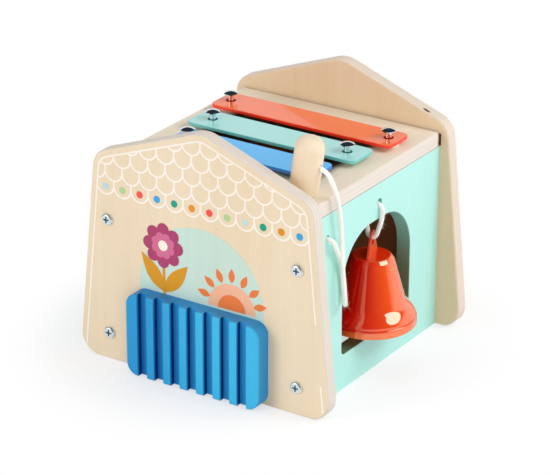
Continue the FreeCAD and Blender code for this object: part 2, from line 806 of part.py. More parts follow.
ball_form = doc.addObject("Part::Sphere", "ball_form")
bind(ball_form, Radius="clapper_ball / 2")
ball_bore = doc.addObject("Part::Cylinder", "ball_bore")
bind(ball_bore, Radius="wire_dia / 2 + fit", Height="clapper_ball")
bind(ball_bore, Placement__Base__z="-seat")
ball = doc.addObject("Part::Cut", "clapper_ball")
ball.Label = "clapper_ball"
ball.Base = ball_form
ball.Tool = ball_bore
place(ball, "side_middle", "bell_back", "crown_z - clapper_drop - clapper_long")

# Knots behind the side panel, where the cords end


def make_knot(label, back, height):
    """A drawn-down knot: a block with large rounds, flat where the cord comes out."""
    block = doc.addObject("Part::Box", f"{label}_block")
    bind(block, Length="knot_thick", Width="knot_dia", Height="knot_dia")
    doc.recompute()
    knot = doc.addObject("Part::Fillet", label)
    knot.Label = label
    knot.Base = block
    radius = size("knot_round")
    knot.Edges = [(number, radius, radius) for number in range(1, len(block.Shape.Edges) + 1)]
    return place(knot, "knot_back", f"{back} - knot_dia / 2", f"{height} - knot_dia / 2")


make_knot("mallet_cord_knot", "tether_back", "tether_height")
make_knot("bell_cord_knot", "bell_back", "bell_hole_height")

# Cords: straight runs joined by tangent arcs, in house coordinates


def cord_path(points):
    """A wire of runs and arcs; each arc's radius is 0.45 of its shorter run over tan(half turn)."""
    edges = []
    radii = []
    start = points[0]
    for before, corner, after in zip(points, points[1:], points[2:]):
        towards = before.sub(corner)
        onwards = after.sub(corner)
        reach = 0.45 * min(towards.Length, onwards.Length)
        turn = math.pi - towards.getAngle(onwards)
        radii.append(reach / math.tan(turn / 2))
        enter = corner.add(Vector(towards).normalize().multiply(reach))
        leave = corner.add(Vector(onwards).normalize().multiply(reach))
        inwards = Vector(towards).normalize().add(Vector(onwards).normalize()).normalize()
        centre_distance = radii[-1] / math.cos(turn / 2)
        middle = corner.add(Vector(inwards).multiply(centre_distance - radii[-1]))
        edges.append(Part.LineSegment(start, enter).toShape())
        edges.append(Part.Arc(enter, middle, leave).toShape())
        start = leave
    edges.append(Part.LineSegment(start, points[-1]).toShape())
    return Part.Wire(edges), radii


def make_cord(label, points):
    path, radii = cord_path(points)
    radius = size("cord_dia") / 2
    along = points[1].sub(points[0])
    section = Part.Wire(Part.Circle(points[0], along, radius).toShape())
    solid = path.makePipeShell([section], True, False)
    print(label, "length", round(path.Length, 1), "least radius", round(min(radii), 2))
    print(label, "radii", [round(value, 1) for value in radii])
    expected = path.Length * math.pi * radius**2
    if abs(solid.Volume / expected - 1) > 0.01:
        raise RuntimeError(f"{label} has volume {solid.Volume}, expected {expected}")
    cord = doc.addObject("Part::Feature", label)
    cord.Label = label
    cord.Shape = solid
    return place(cord)


def mallet_point(up, out):
    """A point of the leaning mallet, up its axis from the shoulder and out to the right."""
    angle = math.radians(size("mallet_lean"))
    x = size("mallet_seat_x") + up * math.sin(angle) + out * math.cos(angle)
    z = size("mallet_z") + up * math.cos(angle) - out * math.sin(angle)
    return Vector(x, size("mallet_back"), z)


def beside(hole, out, back, up):
    """A point out from the right side panel's face, back and up from a hole in it."""
    return hole.add(Vector(out, back, up))


head_side = size("head_dia / 2")
panel_face = size("side_half")
knot_in = panel_face - size("knot_face")
tether_hole = Vector(panel_face, size("tether_back"), size("tether_height"))
make_cord("mallet_cord", [
    mallet_point(size("head_hole_up"), head_side - size("head_hole_deep - seat")),
    mallet_point(size("head_hole_up"), head_side + 4.3),
    beside(tether_hole, 2.4, 1.6, 36.6),
    beside(tether_hole, 4.5, 3.4, 28.0),
    beside(tether_hole, 4.7, 6.2, 17.8),
    beside(tether_hole, 4.6, 8.6, 5.8),
    beside(tether_hole, 4.7, 9.8, -7.2),
    beside(tether_hole, 5.3, 9.6, -19.7),
    beside(tether_hole, 6.1, 9.7, -30.7),
    beside(tether_hole, 6.7, 10.4, -40.2),
    beside(tether_hole, 6.9, 11.0, -48.8),
    beside(tether_hole, 2.7, 17.2, -48.8),
    beside(tether_hole, 2.7, 16.5, -38.2),
    beside(tether_hole, 2.5, 14.6, -28.2),
    beside(tether_hole, 2.6, 11.8, -19.2),
    beside(tether_hole, 3.5, 7.2, -12.0),
    beside(tether_hole, 4.4, 2.8, -6.6),
    beside(tether_hole, 3.9, 0, 0),
    beside(tether_hole, -knot_in, 0, 0),
])

bell_cord_hole = Vector(panel_face, size("bell_back"), size("bell_hole_height"))
eye_drop = size("bell_hole_height - bell_eye_height")
knot_middle = knot_in + size("knot_thick / 2")
make_cord("bell_cord", [
    beside(bell_cord_hole, -knot_in, 0, 0),
    beside(bell_cord_hole, 2.5, 0, 0),
    beside(bell_cord_hole, 2.4, -0.4, -10.3),
    beside(bell_cord_hole, 0.2, -0.3, -17.5),
    beside(bell_cord_hole, -2.5, 0, -eye_drop),
    beside(bell_cord_hole, -8.1, 0, -eye_drop),
    beside(bell_cord_hole, -10.1, 2.0, 6.6 - eye_drop),
    beside(bell_cord_hole, -knot_middle, 0, 13.6 - eye_drop),
    beside(bell_cord_hole, -knot_middle, 0, -size("knot_dia / 2")),
])

# Checks, then one file for each piece

doc.recompute()
for thing in doc.Objects:
    if any(word in thing.State for word in ("Invalid", "Error")):
        raise RuntimeError(f"{thing.Label} failed: {thing.State}")
    if thing.TypeId in ("PartDesign::Pocket", "PartDesign::LinearPattern") and thing.BaseFeature:
        if thing.Shape.Volume > thing.BaseFeature.Shape.Volume - 1e-6:
            raise RuntimeError(f"{thing.Label} cuts nothing")
os.makedirs("parts", exist_ok=True)
for piece in PIECES:
    if piece.Shape.isNull() or not piece.Shape.isValid():
        raise RuntimeError(f"{piece.Label} has no valid shape")
for piece in PIECES:
    piece.Shape.exportStep(f"parts/{piece.Label}.step")
    box = piece.Shape.BoundBox
    print(piece.Label, len(piece.Shape.Solids), "solids", round(piece.Shape.Volume, 1), "mm3", box)
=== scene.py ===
# %% [markdown]
# # A wooden musical house
# The real toy is a small plywood house with three chime bars on its roof board, a ribbed
# scraper on its front, a bell in its side and a mallet on a tether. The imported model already
# has every wooden and metal part in its place, in metres, so this script only dresses it:
# finishes for the hard parts, and new pieces for what a plain solid can't show, which is
# cord, felt, the bell's broad gloss and the printing on the front.

import math

import bpy
import numpy as np
from mathutils import Matrix, Vector


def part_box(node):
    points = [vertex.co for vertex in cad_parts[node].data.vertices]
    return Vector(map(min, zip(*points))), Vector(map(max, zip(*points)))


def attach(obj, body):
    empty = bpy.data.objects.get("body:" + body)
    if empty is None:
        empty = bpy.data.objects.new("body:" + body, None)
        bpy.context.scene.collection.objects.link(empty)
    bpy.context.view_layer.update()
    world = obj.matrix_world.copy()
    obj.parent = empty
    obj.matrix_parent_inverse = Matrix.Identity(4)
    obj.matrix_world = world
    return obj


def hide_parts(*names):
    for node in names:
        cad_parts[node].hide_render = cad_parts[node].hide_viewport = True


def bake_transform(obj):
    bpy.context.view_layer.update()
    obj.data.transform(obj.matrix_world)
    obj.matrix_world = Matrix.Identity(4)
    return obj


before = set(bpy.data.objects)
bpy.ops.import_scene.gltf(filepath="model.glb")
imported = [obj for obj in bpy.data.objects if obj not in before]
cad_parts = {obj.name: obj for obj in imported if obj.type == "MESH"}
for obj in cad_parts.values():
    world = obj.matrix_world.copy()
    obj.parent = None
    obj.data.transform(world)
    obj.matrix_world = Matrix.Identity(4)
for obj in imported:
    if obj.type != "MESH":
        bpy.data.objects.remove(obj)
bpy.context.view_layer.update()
print("pieces in the model", len(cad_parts))

# %% [markdown]
# Everything on the house was laid out from one point, the middle of the front face on the
# floor, with x to the right, y to the back and z up. Reading that point from the front panel
# keeps this script right if the model is ever packed about another origin.

# %% The house's own ruler
front_low, front_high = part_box("front_panel")
MILLIMETRE = 0.001
CORNER = np.array([(front_low.x + front_high.x) / 2, front_low.y, 0.0])


def on_house(points):
    """Millimetres from the middle of the front's foot, as metres in the shared frame."""
    return np.asarray(points, float) * MILLIMETRE + CORNER


print("middle of the front's foot", CORNER.round(5))

# %% [markdown]
# The photograph was taken from the right, a little above, with a long lens. The eye point and
# the point that it looks at were worked out from the panels' corners. A long lens far away
# keeps the parallel edges nearly parallel, as they are in the photograph.

# %% Camera
EYE = Vector(on_house((873.974, -1260.522, 775.547)))
TARGET = Vector(on_house((62.840, -10.440, 123.670)))
LENS_LENGTH = 174.015
ROLL = 0.004666

camera = bpy.data.objects.new("camera", bpy.data.cameras.new("camera"))
camera.data.sensor_width = 36
camera.data.lens = LENS_LENGTH
camera.data.clip_start = 0.05
camera.data.clip_end = 50
looking = (EYE - TARGET).to_track_quat("Z", "Y").to_matrix().to_4x4()
camera.matrix_world = Matrix.Translation(EYE) @ looking @ Matrix.Rotation(ROLL, 4, "Z")
bpy.context.scene.collection.objects.link(camera)
bpy.context.scene.camera = camera
bpy.context.scene.view_settings.view_transform = "Standard"
print("camera stands", round((EYE - TARGET).length, 3), "m from the house")

# %% [markdown]
# A mesh is a list of points and a list of faces. Most shapes here are a grid: rows along the
# piece and columns round it. These helpers turn such grids into faces, join several parts
# into one mesh, and put the object at the origin with its place in its points.

# %% Grids become meshes


def sheet_part(grid, wrap=False):
    """Points and quads of a grid of points; wrap joins the last column to the first."""
    rows, columns = grid.shape[:2]
    index = np.arange(rows * columns).reshape(rows, columns)
    beside = np.roll(index, -1, axis=1)
    if not wrap:
        index, beside = index[:, :-1], beside[:, :-1]
    quads = np.stack([index[:-1], beside[:-1], beside[1:], index[1:]], axis=-1)
    return grid.reshape(-1, 3), quads.reshape(-1, 4).tolist()


def closed_part(grid):
    """A tube from a grid whose rows are rings, with a fan of triangles on each end."""
    points, faces = sheet_part(grid, wrap=True)
    rows, columns = grid.shape[:2]
    ring = np.arange(columns)
    beside = np.roll(ring, -1)
    last = (rows - 1) * columns
    poles = np.stack([grid[0].mean(0), grid[-1].mean(0)])
    start = np.stack([np.full(columns, len(points)), beside, ring], axis=-1)
    end = np.stack([np.full(columns, len(points) + 1), last + ring, last + beside], axis=-1)
    return np.concatenate([points, poles]), faces + start.tolist() + end.tolist()


def fan_part(outline):
    """A flat shape: triangles from the middle of a closed outline to its sides."""
    count = len(outline)
    ring = np.arange(count)
    faces = np.stack([np.full(count, count), ring, np.roll(ring, -1)], axis=-1)
    return np.concatenate([outline, outline.mean(0)[None]]), faces.tolist()


def make_piece(name, parts, material, body="house", sharp=None, inks=None):
    """One object from several parts. inks gives each part a colour, kept as an attribute."""
    counts = [len(points) for points, _ in parts]
    starts = np.concatenate([[0], np.cumsum(counts)[:-1]]).astype(int)
    faces = [[corner + int(start) for corner in face]
             for start, (_, part_faces) in zip(starts, parts) for face in part_faces]
    mesh = bpy.data.meshes.new(name)
    mesh.from_pydata(np.concatenate([points for points, _ in parts]).tolist(), [], faces)
    mesh.shade_smooth()
    if sharp is not None:
        mesh.set_sharp_from_angle(angle=math.radians(sharp))
    if inks is not None:
        shade = np.repeat(np.array([list(ink) + [1.0] for ink in inks]), counts, axis=0)
        attribute = mesh.attributes.new("ink", "FLOAT_COLOR", "POINT")
        attribute.data.foreach_set("color", shade.astype(np.float32).ravel())
    mesh.materials.append(material)
    made = bpy.data.objects.new(name, mesh)
    bpy.context.scene.collection.objects.link(made)
    if body:
        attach(made, body)
    print(name, len(mesh.vertices), "points")
    return made


# %% [markdown]
# Outlines are lines of points. Three things are needed again and again: the same line with its
# points at even steps, a corner rounded by an arc that touches both sides, and a circle.

# %% Lines of points


def spaced(line, step, least=8):
    """The line with its points about a step apart, and the length run at each of them."""
    run = np.r_[0, np.cumsum(np.linalg.norm(np.diff(line, axis=0), axis=1))]
    wanted = np.linspace(0, run[-1], max(least, int(run[-1] / step)))
    return np.stack([np.interp(wanted, run, axis) for axis in line.T], axis=1), wanted


def rounded(corners, radii, steps=24):
    """A line through corners, each inner one replaced by an arc that touches both sides."""
    corners = np.asarray(corners, float)
    pieces = [corners[:1]]
    for before, corner, after, radius in zip(corners, corners[1:], corners[2:], radii):
        back = (before - corner) / np.linalg.norm(before - corner)
        onward = (after - corner) / np.linalg.norm(after - corner)
        half = math.acos(np.clip(back @ onward, -1, 1)) / 2
        middle = (back + onward) / np.linalg.norm(back + onward)
        centre = corner + middle * radius / math.sin(half)
        start = corner + back * radius / math.tan(half) - centre
        end = corner + onward * radius / math.tan(half) - centre
        first, last = math.atan2(start[1], start[0]), math.atan2(end[1], end[0])
        sweep = (last - first + math.pi) % (2 * math.pi) - math.pi
        pieces.append(centre + radius * on_circle(first + sweep * np.linspace(0, 1, steps)))
    return np.concatenate(pieces + [corners[-1:]])


def on_circle(angle):
    """Points of the unit circle: cos a and sin a."""
    return np.stack([np.cos(angle), np.sin(angle)], axis=1)


def full_turn(count):
    """Angles once round, without the last one, which is the first one again."""
    return np.linspace(0, 2 * math.pi, count, endpoint=False)


# %% [markdown]
# A finish is a small graph of shader nodes. `node` adds one and wires its inputs, so that each
# recipe below reads from top to bottom. Colours are written as the sRGB hex values that a
# painter would pick, and turned into the linear values that a renderer works with.

# %% Helpers for finishes


def paint(hexadecimal):
    """An sRGB hex colour as a linear one: ((c + 0.055) / 1.055) ^ 2.4 above a small toe."""
    value = np.array([int(hexadecimal[i:i + 2], 16) for i in (0, 2, 4)]) / 255
    linear = np.where(value > 0.04045, ((value + 0.055) / 1.055) ** 2.4, value / 12.92)
    return tuple(linear.tolist())


def node(tree, kind, inputs=(), **settings):
    """Add a node. inputs are sockets by name or number, each a value or another's output."""
    made = tree.nodes.new(kind)
    for name, value in settings.items():
        setattr(made, name, value)
    for key, value in dict(inputs).items():
        if isinstance(value, bpy.types.NodeSocket):
            tree.links.new(value, made.inputs[key])
        else:
            made.inputs[key].default_value = value
    return made


def finish(name, roughness, **sockets):
    """A new material with its Principled shader's plain numbers set on the shader itself."""
    made = bpy.data.materials.new(name)
    made.use_nodes = True
    shader = made.node_tree.nodes["Principled BSDF"]
    shader.inputs["Roughness"].default_value = roughness
    for key, value in sockets.items():
        shader.inputs[key.replace("_", " ")].default_value = value
    return made, made.node_tree, shader


def colour_with(shader, colour):
    """Let a colour worked out by nodes be the shader's base colour."""
    shader.id_data.links.new(colour, shader.inputs["Base Color"])


def blend_colours(tree, share, first, second, mode="MIX"):
    """first where share is 0, second where it is 1."""
    mixed = tree.nodes.new("ShaderNodeMix")
    mixed.data_type = "RGBA"
    mixed.blend_type = mode
    for key, value in ((0, share), (6, first), (7, second)):
        if isinstance(value, bpy.types.NodeSocket):
            tree.links.new(value, mixed.inputs[key])
        else:
            mixed.inputs[key].default_value = value if key == 0 else (*value, 1)
    return mixed.outputs[2]


def arithmetic(tree, operation, first, second=0.0, third=0.0, clamp=False):
    """A sum on shares; clamp keeps what comes out between 0 and 1."""
    return node(tree, "ShaderNodeMath", {0: first, 1: second, 2: third},
                operation=operation, use_clamp=clamp).outputs[0]


def together(tree, first, *others):
    """The product of several shares."""
    for other in others:
        first = arithmetic(tree, "MULTIPLY", first, other)
    return first


def above(tree, value, floor, gain):
    """How far a value is above a floor, times a gain, between 0 and 1."""
    over = arithmetic(tree, "SUBTRACT", value, floor, clamp=True)
    return arithmetic(tree, "MULTIPLY", over, gain, clamp=True)


def ramp(tree, value, low, high, kind="SMOOTHSTEP"):
    """From 0 to 1 as a value goes from low to high; low may be the larger one."""
    inputs = {"Value": value, "From Min": low, "From Max": high}
    return node(tree, "ShaderNodeMapRange", inputs, interpolation_type=kind).outputs[0]


# %% [markdown]
# The patterns read the object's own coordinates and its own normal, so they stay on the piece
# wherever it goes. Noise that runs slower along one axis comes out as streaks that way.

# %% Places and patterns on the object


def noise(tree, scale, detail=3.0, roughness=0.55, distortion=0.0, stretch=(1, 1, 1)):
    """Noise on the object's own coordinates, drawn out where stretch is small."""
    place = node(tree, "ShaderNodeTexCoord").outputs["Object"]
    stretched = node(tree, "ShaderNodeMapping", {"Vector": place, "Scale": stretch})
    inputs = {"Vector": stretched.outputs[0], "Scale": scale, "Detail": detail,
              "Roughness": roughness, "Distortion": distortion}
    return node(tree, "ShaderNodeTexNoise", inputs).outputs[0]


def drawn_out(along, share, across=1.0):
    """A stretch for noise that is long along one axis."""
    return [share if axis == along else across for axis in range(3)]


def part_of(tree, coordinate, axis):
    """One axis of the object's own place or normal."""
    place = node(tree, "ShaderNodeTexCoord").outputs[coordinate]
    return node(tree, "ShaderNodeSeparateXYZ", {0: place}).outputs[axis]


def past(tree, axis, edge, low, high):
    """From 0 to 1 as a point goes from low to high millimetres past an edge."""
    return ramp(tree, part_of(tree, "Object", axis),
                edge + low * MILLIMETRE, edge + high * MILLIMETRE)


def turned_to(tree, axis, low=0.5, high=0.8):
    """From 0 to 1 as the normal's part along an axis goes from low to high."""
    return ramp(tree, part_of(tree, "Normal", axis), low, high)


def facing(tree, axis, low=0.75, high=0.9):
    """1 where the normal points along an axis, either way, and 0 where it is across it."""
    part = arithmetic(tree, "ABSOLUTE", part_of(tree, "Normal", axis))
    return ramp(tree, part, low, high, "LINEAR")


def bumped(tree, shader, height, strength, distance=0.0002):
    """Tilt the shading by a height between 0 and 1, distance metres high."""
    made = node(tree, "ShaderNodeBump", {"Height": height, "Strength": strength,
                                         "Distance": distance})
    tree.links.new(made.outputs[0], shader.inputs["Normal"])


def dress(material, *names):
    """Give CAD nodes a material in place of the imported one."""
    for name in names:
        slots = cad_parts[name].material_slots
        for number in range(len(slots)):
            slots[number].material = material
    print(material.name, "on", ", ".join(names))


# %% [markdown]
# Birch plywood has a pale face veneer with faint streaks along the grain and short darker
# flecks, and an edge where thin layers alternate. One recipe gives both: the object's own
# normal says whether a point is on the face or on the edge, and the depth into the board
# says which layer an edge point is in. Because the pattern is worked out in space, it needs
# no unwrapping and continues through every rounded corner.

# %% Birch plywood
PLY_THICK, PLY_LAYERS = 0.010, 7
# Bare wood inside the box, its tones darkened as painted shade of the closed box.
SHADED_RAW_WOOD = ("B4763F", "8A5424", "5E3414")


def grain(tree, along, tones, strength=1.0):
    """Broad tone, long streaks and short flecks, all drawn out along one axis."""
    light, dark, fleck = map(paint, tones)
    streaks = noise(tree, 170.0, 5.0, 0.6, 0.35, drawn_out(along, 0.035))
    tone = noise(tree, 34.0, 2.0, stretch=drawn_out(along, 0.12, 0.7))
    flecks = noise(tree, 900.0, 2.0, 0.7, stretch=drawn_out(along, 0.12))
    share = arithmetic(tree, "MULTIPLY_ADD", streaks, 0.62 * strength, 0.5 - 0.31 * strength)
    broad = together(tree, arithmetic(tree, "SUBTRACT", tone, 0.5), 0.9)
    share = arithmetic(tree, "ADD", share, broad, clamp=True)
    marks = above(tree, flecks, 0.62, 1.5 * strength)
    return blend_colours(tree, marks, blend_colours(tree, share, light, dark), fleck), streaks


def layers(tree, axis, start):
    """0 and 1 by turns through the thickness of a board, one value for each veneer."""
    inputs = {"Value": part_of(tree, "Object", axis), "From Min": start,
              "From Max": start + PLY_THICK, "To Min": 0.0, "To Max": math.pi * PLY_LAYERS}
    turn = node(tree, "ShaderNodeMapRange", inputs, clamp=False).outputs[0]
    return arithmetic(tree, "MULTIPLY_ADD", arithmetic(tree, "SINE", turn), 2.2, 0.5, clamp=True)


def plywood(name, thin_axis, along, start, face_tones, edge_tones):
    """Face veneer on the two broad sides, alternating layers on the edges."""
    material, tree, shader = finish(name, 0.5, Specular_IOR_Level=0.35)
    face, streaks = grain(tree, along, (*face_tones, "C9A57A"))
    edge = blend_colours(tree, layers(tree, thin_axis, start), *map(paint, edge_tones))
    speckle = together(tree, noise(tree, 420.0, 3.0, 0.7), 0.25)
    edge = blend_colours(tree, speckle, edge, paint("DECDBB"))
    bumped(tree, shader, streaks, 0.18)
    return material, tree, shader, blend_colours(tree, facing(tree, thin_axis), edge, face)


# %% [markdown]
# A gable's inner face is bare wood where the box hides it, between the side panels and under the
# board. That wood is drawn dark, which is painted shade of the closed box. The field is bounded by
# those edges and by the way that the surface faces.

# %% The front panel
BOX_HALF = 67.5
BOARD_FOOT = 129.0


def shaded_raw_inside(tree, colour, way):
    """Bare wood drawn dark as painted shade, on the face that looks into the box, which is way 1
    or -1 along y.
    """
    inside = together(tree, past(tree, 0, CORNER[0], -BOX_HALF - 0.3, -BOX_HALF),
                      past(tree, 0, CORNER[0], BOX_HALF + 0.3, BOX_HALF),
                      past(tree, 2, 0.0, BOARD_FOOT + 0.3, BOARD_FOOT),
                      turned_to(tree, 1, 0.5 * way, 0.8 * way))
    return blend_colours(tree, inside, colour, grain(tree, 2, SHADED_RAW_WOOD)[0])


front_ply, tree, shader, colour = plywood("birch_ply_front", 1, 2, CORNER[1],
                                          ("F1E0C6", "E4CDA9"), ("E2D9CF", "DDD2C7"))
colour_with(shader, shaded_raw_inside(tree, colour, 1))
dress(front_ply, "front_panel")

# %% [markdown]
# Two small marks belong to the back panel: a dark void in the edge of its right slope, where a
# layer has a gap, and painted shade in the slit beside the board's end. The void is an egg, where
# the distance from its middle, squeezed along two axes, is under a millimetre or so.

# %% The back panel
VOID = on_house((65.8, 167.2, 151.1))
VOID_SQUEEZE = np.array([0.35, 1.0, 0.6])

back_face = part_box("back_panel")[0].y
board_low, board_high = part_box("top_board")
back_ply, tree, shader, colour = plywood("birch_ply_back", 1, 2, back_face,
                                         ("EBD5B6", "DFC29B"), ("E8D9CA", "E1CFBC"))
place = node(tree, "ShaderNodeTexCoord").outputs["Object"]
squeezed = node(tree, "ShaderNodeMapping", {"Vector": place, "Scale": tuple(VOID_SQUEEZE),
                                            "Location": tuple(-VOID * VOID_SQUEEZE)}).outputs[0]
away = node(tree, "ShaderNodeVectorMath", {0: squeezed}, operation="LENGTH").outputs["Value"]
void = ramp(tree, away, 0.0013, 0.0009, "LINEAR")
colour = blend_colours(tree, void, shaded_raw_inside(tree, colour, -1), paint("5A3A2C"))
# Painted shade: the slit between the board's rounded end and the back panel is drawn dark brown.
slit_shade = together(tree, turned_to(tree, 1, -0.5, -0.8),
                past(tree, 0, board_high.x, 1.0, 0.5), past(tree, 0, board_high.x, -1.2, -0.4),
                past(tree, 2, board_low.z, 0.2, 1.0), past(tree, 2, board_high.z, -0.6, -1.8))
colour_with(shader, blend_colours(tree, slit_shade, colour, paint("4A1E08")))
dress(back_ply, "back_panel")

# %% [markdown]
# The board is drawn dark where it meets the back panel and the side panel and in the slit at its
# back corner, which is painted shade. Round its sound opening, under the bars, it is drawn nearly
# as dark as the inside, which is painted shade of the opening below the bars.

# %% The board
board_ply, tree, shader, colour = plywood("birch_ply_board", 2, 1, board_low.z,
                                          ("F7ECDA", "E9D9BC"), ("E8DFD6", "E4DAD0"))
# Painted shade along the back panel, in the slit at the corner and along the foot of the end on
# the side panel.
joint_shade = together(tree, past(tree, 1, back_face, -1.9, -1.1), 0.6)
corner = together(tree, past(tree, 1, back_face, -2.7, -1.9), turned_to(tree, 0))
under = together(tree, past(tree, 2, board_low.z, 0.7, 0.2),
                 past(tree, 0, board_high.x, -1.0, -0.5), 0.6)
dark = arithmetic(tree, "MAXIMUM", arithmetic(tree, "MAXIMUM", joint_shade, corner), under)
colour = blend_colours(tree, together(tree, dark, 0.97), colour, paint("4A2410"))
# The underside is bare wood drawn dark as painted shade.
colour = blend_colours(tree, turned_to(tree, 2, -0.5, -0.8), colour, grain(tree, 1, SHADED_RAW_WOOD)[0])
# Painted shade: a dark field round the opening, where the gaps between the bars look into the box.
opening_shade = together(tree, past(tree, 0, CORNER[0], -58, -50), past(tree, 0, CORNER[0], 58, 50),
               past(tree, 1, CORNER[1], 46, 52), past(tree, 1, CORNER[1], 131.2, 130.4), 0.98)
colour_with(shader, blend_colours(tree, opening_shade, colour, paint("3E2414")))
dress(board_ply, "top_board")

# %% [markdown]
# The mallet and the dowels are solid beech, turned on a lathe and lightly sealed. Beech shows
# short dashes instead of long streaks, so fine dashes go over the same grain recipe, which
# runs at less strength here.

# %% Turned beech


def beech(name):
    material, tree, shader = finish(name, 0.42, Specular_IOR_Level=0.4)
    colour, streaks = grain(tree, 2, ("F5E4CC", "EBD4B2", "D9B68A"), 0.8)
    dashes = noise(tree, 1500.0, 2.0, 0.6, stretch=drawn_out(2, 0.16))
    marks = above(tree, dashes, 0.6, 1.6)
    colour_with(shader, blend_colours(tree, marks, colour, paint("DDBB92")))
    bumped(tree, shader, streaks, 0.12)
    return material


dress(beech("turned_beech"), "mallet_head", "mallet_handle", "board_dowels")

# %% [markdown]
# Paint on wood isn't one flat colour: the film is thinner over the hard streaks, a roller
# leaves a fine orange peel, and the tone drifts a little from place to place. The side
# panels are mint outside and bare inside, so the object's normal picks the paint or the wood.

# %% Satin paint on wood


def satin(name, light, dark, roughness):
    """Paint over the grain, as a material, its tree, its shader and the paint's colour."""
    material, tree, shader = finish(name, roughness, Specular_IOR_Level=0.45)
    cloud = noise(tree, 30.0, 3.0, 0.6, stretch=drawn_out(2, 0.5))
    streaks = together(tree, noise(tree, 260.0, 4.0, 0.6, stretch=drawn_out(2, 0.04)), 0.7)
    peel = together(tree, noise(tree, 1400.0, 1.0), 0.3)
    bumped(tree, shader, arithmetic(tree, "ADD", streaks, peel), 0.12)
    return material, tree, shader, blend_colours(tree, cloud, paint(light), paint(dark))


def painted_panel(name, inwards):
    """Mint outside, bare wood drawn dark as painted shade on the inner face, and thin paint drawn
    darker on the arch's cut wall, partly thin paint over wood and partly painted shade.
    """
    material, tree, shader, mint = satin(name, "BCF1E8", "B1EAE1", 0.42)
    # The arch's wall goes olive and dark towards its foot: thin paint over wood, and painted
    # shade.
    wall = blend_colours(tree, past(tree, 2, 0.0, 50, 100), paint("6A8664"), paint("8CD8C8"))
    colour = blend_colours(tree, facing(tree, 0, 0.55, 0.8), wall, mint)
    inside = turned_to(tree, 0, 0.75 * inwards, 0.85 * inwards)
    colour_with(shader, blend_colours(tree, inside, colour, grain(tree, 2, SHADED_RAW_WOOD)[0]))
    return material


dress(painted_panel("mint_paint_right", -1), "right_side_panel")
dress(painted_panel("mint_paint_left", 1), "left_side_panel")

# %% [markdown]
# The scraper's blue is drawn darker deep in its grooves and navy on their walls, which is painted
# shade. The depth behind the block's front face and the sideways part of the normal together say
# how much of a groove's wall a point is. The ridges also pale a little to the right.

# %% The scraper's blue
blue_paint, tree, shader, blue = satin("blue_paint", "1698D4", "0C8ECC", 0.45)
block_low, block_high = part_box("scraper_block")
paler = together(tree, past(tree, 0, CORNER[0], -45, 20), 0.85)
blue = blend_colours(tree, paler, blue, paint("34BAE8"))
# Painted shade: darker with depth behind the front face, and navy on the groove walls.
deep = past(tree, 1, block_low.y, 0.6, 2.6)
groove_wall_shade = together(tree, deep, turned_to(tree, 0, 0.3, 0.8),
                       past(tree, 0, block_high.x, -4, -6))
blue = blend_colours(tree, together(tree, deep, 0.6), blue, paint("0472C2"))
colour_with(shader, blend_colours(tree, groove_wall_shade, blue, paint("01246A")))
dress(blue_paint, "scraper_block")

# %% [markdown]
# The bars and the bell are steel under baked enamel: a smooth colour coat with a clear gloss.
# Coat is a second, sharper reflection over the first, which is how enamel really looks. The bars'
# sides get a deeper tone, which is painted shade, and a slow noise in the bump bends the
# reflections slightly, as on pressed sheet.

# %% Enamel on the bars


def cloudy(tree, light, dark):
    """Two near tones of enamel in slow clouds."""
    return blend_colours(tree, noise(tree, 22.0, 2.0), paint(light), paint(dark))


def enamel(name, light, dark, edge):
    material, tree, shader = finish(name, 0.3, Coat_Weight=0.6, Coat_Roughness=0.03)
    # Painted shade: faces that don't look up take the deeper edge tone.
    colour_with(shader, blend_colours(tree, facing(tree, 2, 0.35, 0.8), paint(edge),
                                      cloudy(tree, light, dark)))
    bumped(tree, shader, noise(tree, 60.0, 1.0), 0.05, 0.0005)
    return material


dress(enamel("coral_enamel", "FF7A40", "FF6C30", "FF3010"), "coral_bar")
dress(enamel("mint_enamel", "A8E8E4", "9EE2DE", "6CC8C0"), "mint_bar")
dress(enamel("blue_enamel", "0CBCFF", "04B2FF", "0A7CE4"), "blue_bar")

# %% [markdown]
# The bell's enamel is glossier, and it shows its form mostly through colour, which is painted
# light and shade: deep red where it turns from the light, orange towards it. That shift follows
# the part of the object's own normal that points along the light.

# %% The bell's red
TOWARDS_LIGHT = (0.84, 0.54, 0.0)
LIP_TOP = 35.4


def bell_red():
    material, tree, shader = finish("bell_enamel", 0.08, IOR=1.8, Specular_IOR_Level=0.95,
                                    Specular_Tint=(1.0, 0.78, 0.55, 1.0), Coat_Weight=0.8,
                                    Coat_Roughness=0.05)
    # Painted light and shade: the red follows the normal's part towards the light.
    normal = node(tree, "ShaderNodeTexCoord").outputs["Normal"]
    lit = node(tree, "ShaderNodeVectorMath", {0: normal, 1: TOWARDS_LIGHT},
               operation="DOT_PRODUCT").outputs["Value"]
    red = blend_colours(tree, ramp(tree, lit, -0.45, 0.75), paint("E80A04"),
                        cloudy(tree, "FF601C", "FD5414"))
    lip = together(tree, past(tree, 2, 0.0, LIP_TOP, LIP_TOP - 0.6), 0.7)
    colour_with(shader, blend_colours(tree, lip, red, paint("FF7430")))
    return material


red = bell_red()
dress(red, "bell_lug")

# %% [markdown]
# The bell itself is turned again here, because its broad highlights show every facet. The
# profile goes out along the crown, over a soft shoulder, down the straight side, round a hollow
# and two full arcs to the lip, and back up inside at the wall's thickness. An arc that leaves
# a point in a known direction and ends at a known chord c has the radius |c|^2 / (2 c.n), with
# n across that direction. The columns run clockwise, so that the faces point outwards.

